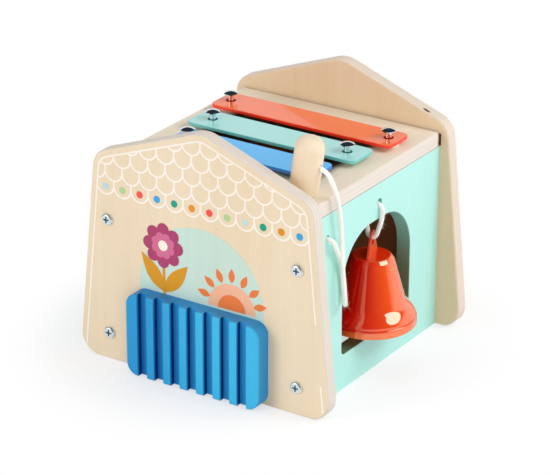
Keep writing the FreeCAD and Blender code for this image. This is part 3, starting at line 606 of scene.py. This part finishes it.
# %% The bell's form
CROWN = np.array([72.5, 88.75, 78.4])
BELL_WALL = 1.2
BELL_COLUMNS, ARC_STEPS = 200, 28
BELL_SIDE = [(0.3, 0), (12.6, 0), (14.9, -2.9), (22.0, -29.0)]
FLARE = [(25.0, -34.2), (28.8, -39.06), (29.3, -41.6)]
LIP = [(29.3, -41.6), (30.2, -42.0), (30.2, -47.4), (28.6, -47.4), (28.1, -41.8)]


def tangent_arc(start, end, along):
    """Points of the arc from start to end that leaves along a direction, and its last one."""
    chord = end - start
    across = np.array([-along[1], along[0]])
    radius = chord @ chord / (2 * chord @ across)
    sweep = 2 * math.asin(np.linalg.norm(chord) / (2 * abs(radius))) * np.sign(radius)
    turn = np.linspace(0, sweep, ARC_STEPS)[:, None]
    spoke = -across * radius
    swung = spoke * np.cos(turn) + np.array([-spoke[1], spoke[0]]) * np.sin(turn)
    last = along * math.cos(sweep) + across * math.sin(sweep)
    return start + across * radius + swung, last


def bell_profile():
    """Radius and height of the wall, from the crown's middle outside to its middle inside."""
    side = rounded(BELL_SIDE, (1.6, 5.0))
    down = (side[-1] - side[-2]) / np.linalg.norm(side[-1] - side[-2])
    runs = [side[:-1], np.linspace(side[-2], side[-1], 24)[1:]]
    for end in np.array(FLARE):
        arc, down = tangent_arc(runs[-1][-1], end, down)
        runs.append(arc[1:])
    skirt = np.concatenate(runs)
    slope = np.gradient(skirt, axis=0)
    slope /= np.linalg.norm(slope, axis=1)[:, None]
    inside = skirt + BELL_WALL * np.stack([slope[:, 1], -slope[:, 0]], axis=1)
    inside[:, 0] = np.maximum(inside[:, 0], skirt[0, 0])
    return np.concatenate([skirt, rounded(LIP, (1.2, 0.5, 0.5), 10)[1:], inside[::-1]])


profile = bell_profile()
ring = on_circle(-full_turn(BELL_COLUMNS))
height = np.broadcast_to(profile[:, None, 1:], (len(profile), BELL_COLUMNS, 1))
lathe = np.concatenate([profile[:, None, :1] * ring[None], height], axis=2)
bell = make_piece("turned_bell", [closed_part(on_house(lathe + CROWN))], red,
                  "bell", sharp=40)
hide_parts("bell_shell")

# %% [markdown]
# Three bare metals: bright chrome on the round-headed pins, zinc with its bluish cast on the
# screws, and plain steel wire inside the bell. All three get fine scratches in their
# roughness, because a perfect mirror looks computed.

# %% Bare metals
ZINC = ("DCEBEF", 0.42, 0.08)


def metal(name, colour, roughness, spread):
    material, tree, shader = finish(name, roughness, Metallic=1.0)
    rub = noise(tree, 700.0, 4.0, 0.7)
    inputs = {"Value": rub, "To Min": roughness - spread, "To Max": roughness + spread}
    tree.links.new(node(tree, "ShaderNodeMapRange", inputs).outputs[0], shader.inputs["Roughness"])
    colour_with(shader, blend_colours(tree, rub, paint(colour), paint("FFFFFF")))
    return material, tree, shader


def screw(name, face, outwards):
    """Zinc, with painted shade on the floor of the cross recess behind the head's crest."""
    material, tree, shader = metal(name, *ZINC)
    zinc = shader.inputs["Base Color"].links[0].from_socket
    # Painted shade: the floor of the cross recess is drawn dark teal.
    recess = together(tree, facing(tree, 1), past(tree, 1, face, 1.4 * outwards, 1.2 * outwards))
    colour_with(shader, blend_colours(tree, recess, zinc, paint("1E5A6C")))
    return material


dress(metal("chrome_pin", "C9CED6", 0.06, 0.02)[0], "coral_pins", "mint_pins", "blue_pins")
dress(screw("zinc_front_screw", CORNER[1], -1), "front_screws")
dress(screw("zinc_back_screw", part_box("back_panel")[1].y, 1), "back_screws")
dress(metal("zinc_screw", *ZINC)[0], "scraper_screws")
dress(metal("steel_wire", "B9B9B6", 0.30, 0.08)[0], "clapper_stem", "clapper_ball")

# %% [markdown]
# The tether and the bell's cord are cotton, 3.2 mm across. A cord hangs on one smooth line,
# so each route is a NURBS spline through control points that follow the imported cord, and the
# cord's surface is then worked out along the points read back from that spline.

# %% A smooth route


def route(points):
    """The line that a NURBS spline of order 3 draws from its control points, and its length."""
    curve = bpy.data.curves.new("route", "CURVE")
    curve.dimensions = "3D"
    curve.resolution_u = 24
    spline = curve.splines.new("NURBS")
    spline.points.add(len(points) - 1)
    spline.points.foreach_set("co", np.c_[points, np.ones(len(points))].ravel())
    spline.order_u = 3
    spline.use_endpoint_u = True
    holder = bpy.data.objects.new("route", curve)
    drawn = bpy.data.meshes.new_from_object(holder)
    line = np.zeros(len(drawn.vertices) * 3)
    drawn.vertices.foreach_get("co", line)
    bpy.data.objects.remove(holder)
    bpy.data.curves.remove(curve)
    bpy.data.meshes.remove(drawn)
    line = line.reshape(-1, 3)
    return line, float(np.linalg.norm(np.diff(line, axis=0), axis=1).sum())


def frames(line):
    """Direction of the line and two directions across it, carried along without a twist."""
    along = np.gradient(line, axis=0)
    along /= np.linalg.norm(along, axis=1)[:, None]
    side = np.zeros_like(along)
    seed = np.array([0.0, 0.0, 1.0]) if abs(along[0, 2]) < 0.8 else np.array([0.0, 1.0, 0.0])
    for number, direction in enumerate(along):
        seed = seed - direction * (seed @ direction)
        seed = seed / np.linalg.norm(seed)
        side[number] = seed
    return along, side, np.cross(along, side)


# %% [markdown]
# A braided cord is a round core over which strands run both ways. Its radius at the angle a
# and the length s is the outer radius, less a little in the grooves between the strands:
# r = R (1 - d (1 - max(cos n(a + ks), cos n(a - ks))) / 2). The larger cosine wins, which
# draws the small diamonds of a braid. Loose fibres stand off it, each a thin curved spike.

# %% A braided cord with loose fibres
CORD_RADIUS = 0.0016
STRANDS = 5
STRAND_TURN = 0.011
BRAID_DEPTH = 0.16
BRAID_STEP = 0.00022
cotton_generator = np.random.default_rng(7)


def braid_part(line, radius=CORD_RADIUS, around=40):
    """The braid's surface along a line."""
    line, run = spaced(line, BRAID_STEP)
    _, side, up = frames(line)
    angle = full_turn(around)[None, :]
    twist = 2 * math.pi * run[:, None] / STRAND_TURN
    over = np.cos(STRANDS * (angle + twist))
    under = np.cos(STRANDS * (angle - twist))
    reach = radius * (1 - BRAID_DEPTH * (1 - np.maximum(over, under)) / 2)
    ring = np.cos(angle)[..., None] * side[:, None] + np.sin(angle)[..., None] * up[:, None]
    return closed_part(line[:, None] + reach[..., None] * ring)


def fibre_parts(line, count, length, first, last, thick=0.00003, pull=(0.0, 0.0, 0.0)):
    """Spikes p(t) = root + L (t out + t^2 droop), three-sided, thinning to the tip.

    They root between two shares of the line's length, and pull leans them all one way.
    """
    rows, _ = spaced(line, 0.0005)
    along, side, up = frames(rows)
    spot = (cotton_generator.uniform(first, last, count) * (len(rows) - 1)).astype(int)
    angle = cotton_generator.uniform(0, 2 * math.pi, count)
    out = np.cos(angle)[:, None] * side[spot] + np.sin(angle)[:, None] * up[spot]
    lean = along[spot] * cotton_generator.normal(0, 0.9, count)[:, None] + out + pull
    lean /= np.linalg.norm(lean, axis=1)[:, None]
    droop = cotton_generator.normal(0, 0.45, (count, 3)) - [0, 0, 0.3]
    reach = length * cotton_generator.uniform(0.35, 1.0, count)[:, None, None]
    t = np.linspace(0, 1, 5)[None, :, None]
    root = (rows[spot] + out * CORD_RADIUS * 0.9)[:, None]
    spine = root + reach * (t * lean[:, None] + t**2 * droop[:, None])
    across = np.cross(lean, along[spot] + 0.3)
    across /= np.linalg.norm(across, axis=1)[:, None]
    other = np.cross(lean, across)
    turn = full_turn(3)
    rim = np.cos(turn)[:, None] * across[:, None] + np.sin(turn)[:, None] * other[:, None]
    width = thick * (1 - 0.8 * t[..., None])
    return [closed_part(grid) for grid in spine[:, :, None] + width * rim[:, None]]


# %% [markdown]
# Cotton is matt and slightly rough to the light at grazing angles, so it gets sheen. Its
# colour changes in fine flecks where fibres lie another way. The pattern follows space at a
# scale of a third of a millimetre, too fine to show that it doesn't run along the cord.

# %% Cotton


def cloth_fibre(name, light, dark, scale):
    material, tree, shader = finish(name, 0.9, Sheen_Weight=0.35, Sheen_Roughness=0.5,
                                    Specular_IOR_Level=0.15)
    flecks = noise(tree, scale, 4.0, 0.7)
    colour_with(shader, blend_colours(tree, flecks, paint(light), paint(dark)))
    bumped(tree, shader, flecks, 0.35)
    return material


cotton = cloth_fibre("cotton_cord", "FFFDF9", "F8F2EA", 3000.0)


def hang_cord(node_name, names, line, length, fluff):
    """A cord and its fibres in place of a CAD cord, with their places kept in their points."""
    cord = make_piece(names[0], [braid_part(line)], cotton, None)
    fibres = make_piece(names[1], fluff, cotton, None)
    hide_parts(node_name)
    for strand in (cord, fibres):
        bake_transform(strand)
    print(names[0], round(length * 1000, 1), "mm long")


# %% [markdown]
# The tether leaves the mallet's head, rises over the board's edge, hangs down the side panel to a
# U-turn near the level of the bell's waist, and comes back up into its hole. The control points
# are millimetres on the house.

# %% The mallet's tether
LEAN = math.radians(8)
MALLET_SEAT = np.array([58.4999, 28.3, 140.4221])


def on_mallet(up, out):
    """A point of the leaning mallet: up along its axis, and out to the right of it."""
    x = up * math.sin(LEAN) + out * math.cos(LEAN)
    return MALLET_SEAT + (x, 0.0, up * math.cos(LEAN) - out * math.sin(LEAN))


TETHER = [
    on_mallet(19.1, 3.6), on_mallet(19.1, 13.8), (79.9, 27.8, 149.8), (82.0, 29.6, 141.2),
    (82.2, 32.4, 131.0), (82.1, 34.8, 119.0), (82.2, 36.0, 106.0), (82.8, 35.8, 93.5),
    (83.6, 35.9, 82.5), (84.2, 36.6, 73.0), (84.4, 37.2, 64.4), (80.2, 43.4, 64.4),
    (80.2, 42.7, 75.0), (80.0, 40.8, 85.0), (80.1, 38.0, 94.0), (81.0, 33.4, 101.2),
    (81.9, 29.0, 106.6), (81.4, 26.2, 113.2), (67.2, 26.2, 113.2),
]
tether_line, tether_length = route(on_house(TETHER))
tether_fluff = (
    fibre_parts(tether_line, 300, 0.0012, 0.08, 0.9)
    + fibre_parts(tether_line, 90, 0.0020, 0.47, 0.57, 0.00004, pull=(0.6, 1.0, 0.0))
    + fibre_parts(tether_line, 130, 0.0026, 0.55, 0.61, 0.00005, pull=(0.0, 0.0, -2.2)))
hang_cord("mallet_cord", ("tether_cord", "tether_fibres"), tether_line, tether_length,
          tether_fluff)

# %% [markdown]
# The bell hangs in a ring of the same cord: it comes out of the hole over the arch, runs down
# through the eye of the lug on the bell's crown, and goes back up behind the panel to its knot.

# %% The bell's cord
BELL_LOOP = [
    (67.2, 88.75, 115.5), (80.0, 88.75, 115.5), (79.9, 88.35, 105.2), (77.7, 88.45, 98.0),
    (75.0, 88.75, 90.4), (69.4, 88.75, 90.4), (67.4, 90.75, 97.0), (64.2, 88.75, 104.0),
    (64.2, 88.75, 111.2),
]
bell_line, bell_length = route(on_house(BELL_LOOP))
bell_fluff = (
    fibre_parts(bell_line, 130, 0.0012, 0.12, 0.75)
    + fibre_parts(bell_line, 80, 0.0030, 0.22, 0.48, 0.00007, pull=(0.6, 1.0, 0.0)))
hang_cord("bell_cord", ("bell_loop_cord", "bell_loop_fibres"), bell_line, bell_length,
          bell_fluff)

# %% [markdown]
# Both cords end in an overhand knot behind the panel. Pulled tight, an overhand knot is close
# to a trefoil: x = r sin 3t, y = (R + s cos 3t) cos 2t, z = (R + s cos 3t) sin 2t. It lies
# flat on the wood, so its depth is along x of the house.

# %% Knots
KNOT_X, KNOT_DEPTH = 64.2, 1.45
KNOT_RING, KNOT_SWING = 1.55, 1.25


def knot_part(back, height):
    """The trefoil as a braid, round a point behind the panel."""
    t = np.linspace(0.02, 2 * math.pi - 0.02, 240)
    reach = KNOT_RING + KNOT_SWING * np.cos(3 * t)
    line = np.stack([KNOT_X + KNOT_DEPTH * np.sin(3 * t), back + reach * np.cos(2 * t),
                     height + reach * np.sin(2 * t)], axis=1)
    return braid_part(on_house(line), 0.0015, around=28)


for name, node_name, back, height in (("tether_knot", "mallet_cord_knot", 26.2, 113.2),
                                      ("bell_loop_knot", "bell_cord_knot", 88.75, 115.5)):
    knot = make_piece(name, [knot_part(back, height)], cotton)
    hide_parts(node_name)

# %% [markdown]
# The felt washers under the bars are cut from thick pressed felt. The cut edge bulges a little
# and is never clean, so the ring's radius wanders by a few hundredths of a millimetre. A
# washer is a rounded square carried round a circle.

# %% Felt washers
FELT_INNER, FELT_OUTER = 2.75, 7.0
FELT_LOW, FELT_HIGH = 139.0, 141.9
FELT_ROWS, FELT_COLUMNS = 96, 28
felt = cloth_fibre("white_felt", "F7F4EE", "D9D4CB", 1600.0)
felt_generator = np.random.default_rng(11)


def washer_part(x, y):
    """Rings round the washer's section; corners pull in as a fifth-power oval does."""
    around = full_turn(FELT_ROWS)[:, None]
    section = full_turn(FELT_COLUMNS)[None, :]
    power = (np.abs(np.cos(section)) ** 5 + np.abs(np.sin(section)) ** 5) ** (-1 / 5)
    waver = 1 + 0.02 * felt_generator.normal(size=(FELT_ROWS, FELT_COLUMNS))
    bulge = 0.985 - 0.015 * np.cos(7 * around + 1)
    wide = (FELT_OUTER - FELT_INNER) / 2 * np.cos(section) * power * bulge * waver
    tall = (FELT_HIGH - FELT_LOW) / 2 * np.sin(section) * power * 0.985
    reach = np.clip((FELT_OUTER + FELT_INNER) / 2 + wide, FELT_INNER, FELT_OUTER)
    height = np.broadcast_to((FELT_LOW + FELT_HIGH) / 2 + tall, reach.shape)
    grid = np.stack([x + reach * np.cos(around), y + reach * np.sin(around), height], axis=-1)
    points, faces = sheet_part(np.concatenate([grid, grid[:1]]), wrap=True)
    welded = np.arange(len(points))
    welded[-FELT_COLUMNS:] = np.arange(FELT_COLUMNS)
    return on_house(points[:-FELT_COLUMNS]), welded[np.array(faces)].tolist()


for colour, back, pin in (("coral", 125.5, 61.5), ("mint", 90.0, 52.0), ("blue", 54.5, 47.5)):
    washers = make_piece(f"{colour}_felt_washers", [washer_part(x, back) for x in (-pin, pin)],
                         felt)
    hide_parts(f"{colour}_felts")

# %% [markdown]
# The front is screen printed: a fine light line round the edge, rows of fish-scale tiles under
# the roof with a coloured dot in each tile of the lowest row, and a pale half-round above
# the scraper with two simple pictures. Each print is a thin sheet of its own just off the
# wood, which stays sharp from any distance, and its ink lets the grain show through.

# %% Printing ink
INK_LIFT = 0.06


def printed(points, layer=1):
    """Points x and z on the front as points in space, a few hundredths off the wood."""
    points = np.asarray(points, float)
    depth = np.full(points.shape[:-1], -INK_LIFT * layer)
    return on_house(np.stack([points[..., 0], depth, points[..., 1]], axis=-1))


def ink_material():
    material, tree, shader = finish("screen_ink", 0.5, Specular_IOR_Level=0.35)
    wood, _ = grain(tree, 2, ("FFFFFF", "F1E6D6", "DCC9AE"))
    colour = node(tree, "ShaderNodeAttribute", attribute_name="ink").outputs["Color"]
    through = blend_colours(tree, 1.0, colour, wood, "MULTIPLY")
    colour_with(shader, blend_colours(tree, 0.75, colour, through))
    return material


ink = ink_material()
LINE_INK = paint("FFF8F3")


def print_piece(name, parts, inks):
    return make_piece(name, parts, ink, inks=inks)


def strip_part(line, width, layer=1):
    """A ribbon along a line of x, z points, half its width to each side."""
    along = np.gradient(line, axis=0)
    along /= np.linalg.norm(along, axis=1)[:, None]
    across = np.stack([along[:, 1], -along[:, 0]], axis=1) * width / 2
    return sheet_part(printed(np.stack([line - across, line + across], axis=1), layer))


def evenly(line, step=0.5):
    """A flat line with its points half a millimetre apart, or another step."""
    return spaced(line, step, least=3)[0]


# %% [markdown]
# The border keeps a steady distance from the panel's edge. Each side of the outline moves
# inwards by that distance, neighbouring sides meet in new corners, and each corner is rounded
# by an arc that touches both sides. The line has a gap low on the right.

# %% The border line
OUTLINE = np.array([(-97.5, 0), (-83, 144.5), (0, 175), (83, 144.5), (97.5, 0)], float)
BORDER_INSET = 4.9
BORDER_LINE = 1.1


def moved_in(corners, distance):
    """Corners of the outline moved in: each solves n1.p = c1 and n2.p = c2 of its two sides."""
    sides = np.diff(corners, axis=0)
    normals = np.stack([sides[:, 1], -sides[:, 0]], axis=1)
    normals /= np.linalg.norm(normals, axis=1)[:, None]
    offsets = (normals * corners[:-1]).sum(1) + distance
    pairs = np.stack([normals[:-1], normals[1:]], axis=1)
    wanted = np.stack([offsets[:-1], offsets[1:]], axis=1)[..., None]
    return np.linalg.solve(pairs, wanted)[..., 0], normals, offsets


inner, normals, offsets = moved_in(OUTLINE, BORDER_INSET)


def on_side(number, height):
    """The point of a moved side at a height."""
    (nx, nz), offset = normals[number], offsets[number]
    return np.array([(offset - nz * height) / nx, height])


border = rounded(np.vstack([on_side(0, 6.0), inner, on_side(3, 6.5)]), (10.0, 15.0, 10.0))
upper = np.vstack([border[:-1], on_side(3, 66.0)])
lower = np.linspace(on_side(3, 25.0), on_side(3, 6.5), 5)
print_piece("printed_border", [strip_part(evenly(line), BORDER_LINE) for line in (upper, lower)],
            [LINE_INK, LINE_INK])

# %% [markdown]
# Fish-scale tiles are one of the oldest roof patterns: every row is shifted by half a tile.
# One tile is drawn as a U, two short straight sides and a half circle. The lines stop where
# they meet the border, which is tested against each straight side of the border's outline.

# %% Fish-scale tiles and dots
TILE, ROW = 13.4, 10.35
FIRST_ROW = 117.35
TILE_LINE, TILE_CLEARANCE = 1.2, 0.3
DOT_HEIGHT, DOT_RADIUS = 122.8, 2.5
DOT_INKS = ["BFE0E8", "B5DA9B", "F8564A", "3FA9EC", "10A588", "E8951C",
            "F8564A", "B5DA9B", "C8E4E6", "10A588", "E0930F", "3AA8E4"]


def tile_line(centre, bottom):
    """Down the left side and round the half circle, where the next tile's side begins."""
    radius = TILE / 2
    arc = radius * on_circle(np.linspace(math.pi, 2 * math.pi, 41)) + (centre, bottom + radius)
    side = np.linspace(bottom + ROW, bottom + radius + 0.3, 8)
    left = np.stack([np.full(8, centre - radius), side], axis=1)
    return evenly(np.concatenate([left, arc]), 0.35)


def inside_border(points):
    """True for a point clear of each side: its distance from one is side x reach / |side|."""
    sides = np.diff(border, axis=0)
    reach = points[:, None] - border[None, :-1]
    turn = sides[:, 0] * reach[..., 1] - sides[:, 1] * reach[..., 0]
    return (turn / np.linalg.norm(sides, axis=1) < -TILE_CLEARANCE).all(1)


def round_part(x, z, radius, layer=1, angle=full_turn(40)):
    """A flat shape of the polar curve radius(angle): a disc where the radius is one number."""
    rim = np.stack([x + radius * np.cos(angle), z + radius * np.sin(angle)], axis=1)
    return fan_part(printed(rim, layer))


tile_parts = []
for row in range(6):
    shift = TILE / 2 if row % 2 == 0 else 0.0
    for column in range(-7, 8):
        line = tile_line(column * TILE + shift, FIRST_ROW + row * ROW)
        layer = 0.4 + 0.15 * (column % 2 + 2 * (row % 2))
        edges = np.flatnonzero(np.diff(np.r_[0, inside_border(line).astype(int), 0]))
        tile_parts += [strip_part(line[first:last], TILE_LINE, layer)
                       for first, last in zip(edges[::2], edges[1::2]) if last - first > 3]
print_piece("printed_tiles", tile_parts, [LINE_INK] * len(tile_parts))

dots = [round_part((number - 5.5) * TILE, DOT_HEIGHT, DOT_RADIUS) for number in range(12)]
print_piece("printed_dots", dots, [paint(name) for name in DOT_INKS])

# %% [markdown]
# Above the scraper a pale half-round is printed, and in front of it two plain garden pictures:
# a large flower with two leaves, and a half sun with short rays. A flower is a polar curve:
# its radius is R (1 - d + d |cos(n a / 2)|^0.7) at the angle a, which makes n round petals.

# %% The half-round and its pictures
HALF_ROUND, HALF_ROUND_HEIGHT, HIDDEN_FOOT = 47.5, 62.5, 54.0
FLOWER = (-29, 92)
SUN_X = 23.5
MAGENTA, PINK, MUSTARD = paint("B03E70"), paint("D66E98"), paint("DE9A16")
PEACH, ORANGE, CREAM = paint("F9BE9F"), paint("F0803F"), paint("FFF6EA")

arch = HALF_ROUND * on_circle(np.linspace(0, math.pi, 97)) + (0.0, HALF_ROUND_HEIGHT)
arch = np.vstack([arch, [(-HALF_ROUND, HIDDEN_FOOT), (HALF_ROUND, HIDDEN_FOOT)]])
print_piece("printed_half_round", [fan_part(printed(arch))], [paint("CBE7DF")])


def flower_part(radius, layer, depth, turned=0.0):
    """Eight petals round the flower's middle."""
    angle = full_turn(180)
    wave = np.abs(np.cos(8 * (angle - turned) / 2)) ** 0.7
    return round_part(*FLOWER, radius * (1 - depth + depth * wave), layer, angle)


def leaf_part(foot, tip, wide, layer):
    """An almond: two arcs w sin(pi t^0.85) off the straight line from foot to tip."""
    foot, tip = np.array(foot, float), np.array(tip, float)
    t = np.linspace(0, 1, 30)[:, None]
    across = np.array([-(tip - foot)[1], (tip - foot)[0]]) / np.linalg.norm(tip - foot)
    middle = foot + (tip - foot) * t
    bulge = across * wide * np.sin(math.pi * t**0.85)
    return fan_part(printed(np.concatenate([middle + bulge, (middle - bulge)[-2:0:-1]]), layer))


stem = strip_part(evenly(np.array([(-28.0, 54.0), (-28.5, 70.0), (-29.0, 84.0)])), 2.2, 2)
rays = [np.array([math.cos(angle), math.sin(angle)])
        for angle in np.linspace(math.radians(14), math.radians(166), 7)]
ray_foot = np.array([SUN_X, 62.0])
half_turn = np.linspace(0.0, math.pi, 60)
picture = [
    (stem, MUSTARD),
    (leaf_part((-28, 60), (-46, 84), 5.2, 3), MUSTARD),
    (leaf_part((-28, 60), (-10, 82), 5.2, 3), MUSTARD),
    (flower_part(15.5, 4, 0.24), MAGENTA),
    (flower_part(9.2, 5, 0.2, math.pi / 8), PINK),
    (round_part(*FLOWER, 3.6, 6), CREAM),
    *[(leaf_part(ray_foot + 17.0 * way, ray_foot + 27.0 * way, 2.4, 2), ORANGE) for way in rays],
    (round_part(SUN_X, 60.0, 18.0, 2, half_turn), PEACH),
    (round_part(SUN_X, 60.0, 10.5, 3, half_turn), ORANGE),
]
print_piece("printed_garden", *zip(*picture))

# %% [markdown]
# The house stands on a pale floor that fades into a white background. For the lens alone, as Is
# Camera Ray says, the floor is darker paint plus a glow of its own, so that it reads as white and
# still keeps the toy's shadow, without more light on the toy. All other rays meet a light grey
# floor with a weak glow of its own, which is painted light on the toy from below.

# %% Floor


def shining(tree, kind, strength, colour=(1, 1, 1)):
    """An emission or a background of one colour and strength."""
    return node(tree, kind, {"Color": (*colour, 1), "Strength": strength}).outputs[0]


def chosen(tree, share, first, second):
    """The first shader where share is 0, the second where it is 1."""
    return node(tree, "ShaderNodeMixShader", {0: share, 1: first, 2: second}).outputs[0]


def glowing_paint(tree, grey, glow):
    """Matt grey paint with a glow added."""
    matt = node(tree, "ShaderNodeBsdfDiffuse", {"Color": (grey, grey, grey, 1)}).outputs[0]
    light = shining(tree, "ShaderNodeEmission", glow)
    return node(tree, "ShaderNodeAddShader", {0: matt, 1: light}).outputs[0]


def floor_material():
    material = bpy.data.materials.new("pale_floor")
    material.use_nodes = True
    tree = material.node_tree
    tree.nodes.clear()
    place = node(tree, "ShaderNodeTexCoord").outputs["Object"]
    reach = node(tree, "ShaderNodeVectorMath", {0: place}, operation="LENGTH").outputs["Value"]
    white = shining(tree, "ShaderNodeEmission", 1.0)
    seen = chosen(tree, ramp(tree, reach, 0.125, 0.185), glowing_paint(tree, 0.42, 0.59), white)
    lens = node(tree, "ShaderNodeLightPath").outputs["Is Camera Ray"]
    # For all other rays the floor glows weakly, which adds light to the toy from below.
    surface = chosen(tree, lens, glowing_paint(tree, 0.72, 0.12), seen)
    node(tree, "ShaderNodeOutputMaterial", {"Surface": surface})
    return material


floor_mesh = bpy.data.meshes.new("floor")
floor_mesh.from_pydata([(-6, -6, 0), (6, -6, 0), (6, 6, 0), (-6, 6, 0)], [], [(0, 1, 2, 3)])
floor_mesh.materials.append(floor_material())
floor = bpy.data.objects.new("floor", floor_mesh)
bpy.context.scene.collection.objects.link(floor)
print("floor fades to white between 125 and 185 mm from the middle")

# %% [markdown]
# The world is white for the lens and a soft even light for matt surfaces. What the metal and
# the enamel mirror, as Is Glossy Ray says, is a dim bluish room with a white backdrop behind
# the toy, low over the floor, so that they show dark and bright sides as in a studio.

# %% Surroundings
world = bpy.data.worlds.new("studio")
bpy.context.scene.world = world
world.use_nodes = True
sky = world.node_tree
sky.nodes.clear()
path = node(sky, "ShaderNodeLightPath").outputs
shown = arithmetic(sky, "MAXIMUM", path["Is Camera Ray"], path["Is Transmission Ray"])
way = node(sky, "ShaderNodeTexCoord").outputs["Generated"]
way = node(sky, "ShaderNodeSeparateXYZ", {0: way}).outputs
backdrop = together(sky, ramp(sky, way[1], 0.1, 0.45), ramp(sky, way[2], 0.5, 0.38))
white = shining(sky, "ShaderNodeBackground", 1.0)
dark_room = shining(sky, "ShaderNodeBackground", 0.06, (0.35, 0.55, 0.75))
soft = shining(sky, "ShaderNodeBackground", 0.585)
mirrored = chosen(sky, backdrop, dark_room, white)
lit = chosen(sky, path["Is Glossy Ray"], soft, mirrored)
node(sky, "ShaderNodeOutputWorld", {"Surface": chosen(sky, shown, lit, white)})

# %% [markdown]
# Soft boxes are area lamps. The key stands at the front left, not far above the toy, and
# draws a soft shadow behind it to the right. An oval one on the right keeps the mint panel
# bright and makes the broad highlights on the bell. A weak fill beside the camera, which no
# reflection shows, lifts the faces turned to the lens.

# %% Lamps
AIM = (0, 0, 0.08)


def soft_box(name, place, aim, size, watts, shape="RECTANGLE"):
    lamp = bpy.data.lights.new(name, "AREA")
    lamp.shape = shape
    lamp.size, lamp.size_y = size
    lamp.energy = watts
    made = bpy.data.objects.new(name, lamp)
    made.location = place
    made.rotation_euler = (Vector(place) - Vector(aim)).to_track_quat("Z", "Y").to_euler()
    bpy.context.scene.collection.objects.link(made)
    print(name, watts, "W")
    return made


soft_box("key_box", (-1.1, -1.9, 0.78), AIM, (0.95, 0.95), 15.5)
soft_box("side_box", (1.11, 0.39, 1.06), (0.05, 0, 0.08), (1.15, 0.75), 10.5, "ELLIPSE")
fill_box = soft_box("fill_box", (1.35, -1.4, 0.55), AIM, (1.2, 0.8), 6.5)
fill_box.visible_glossy = False
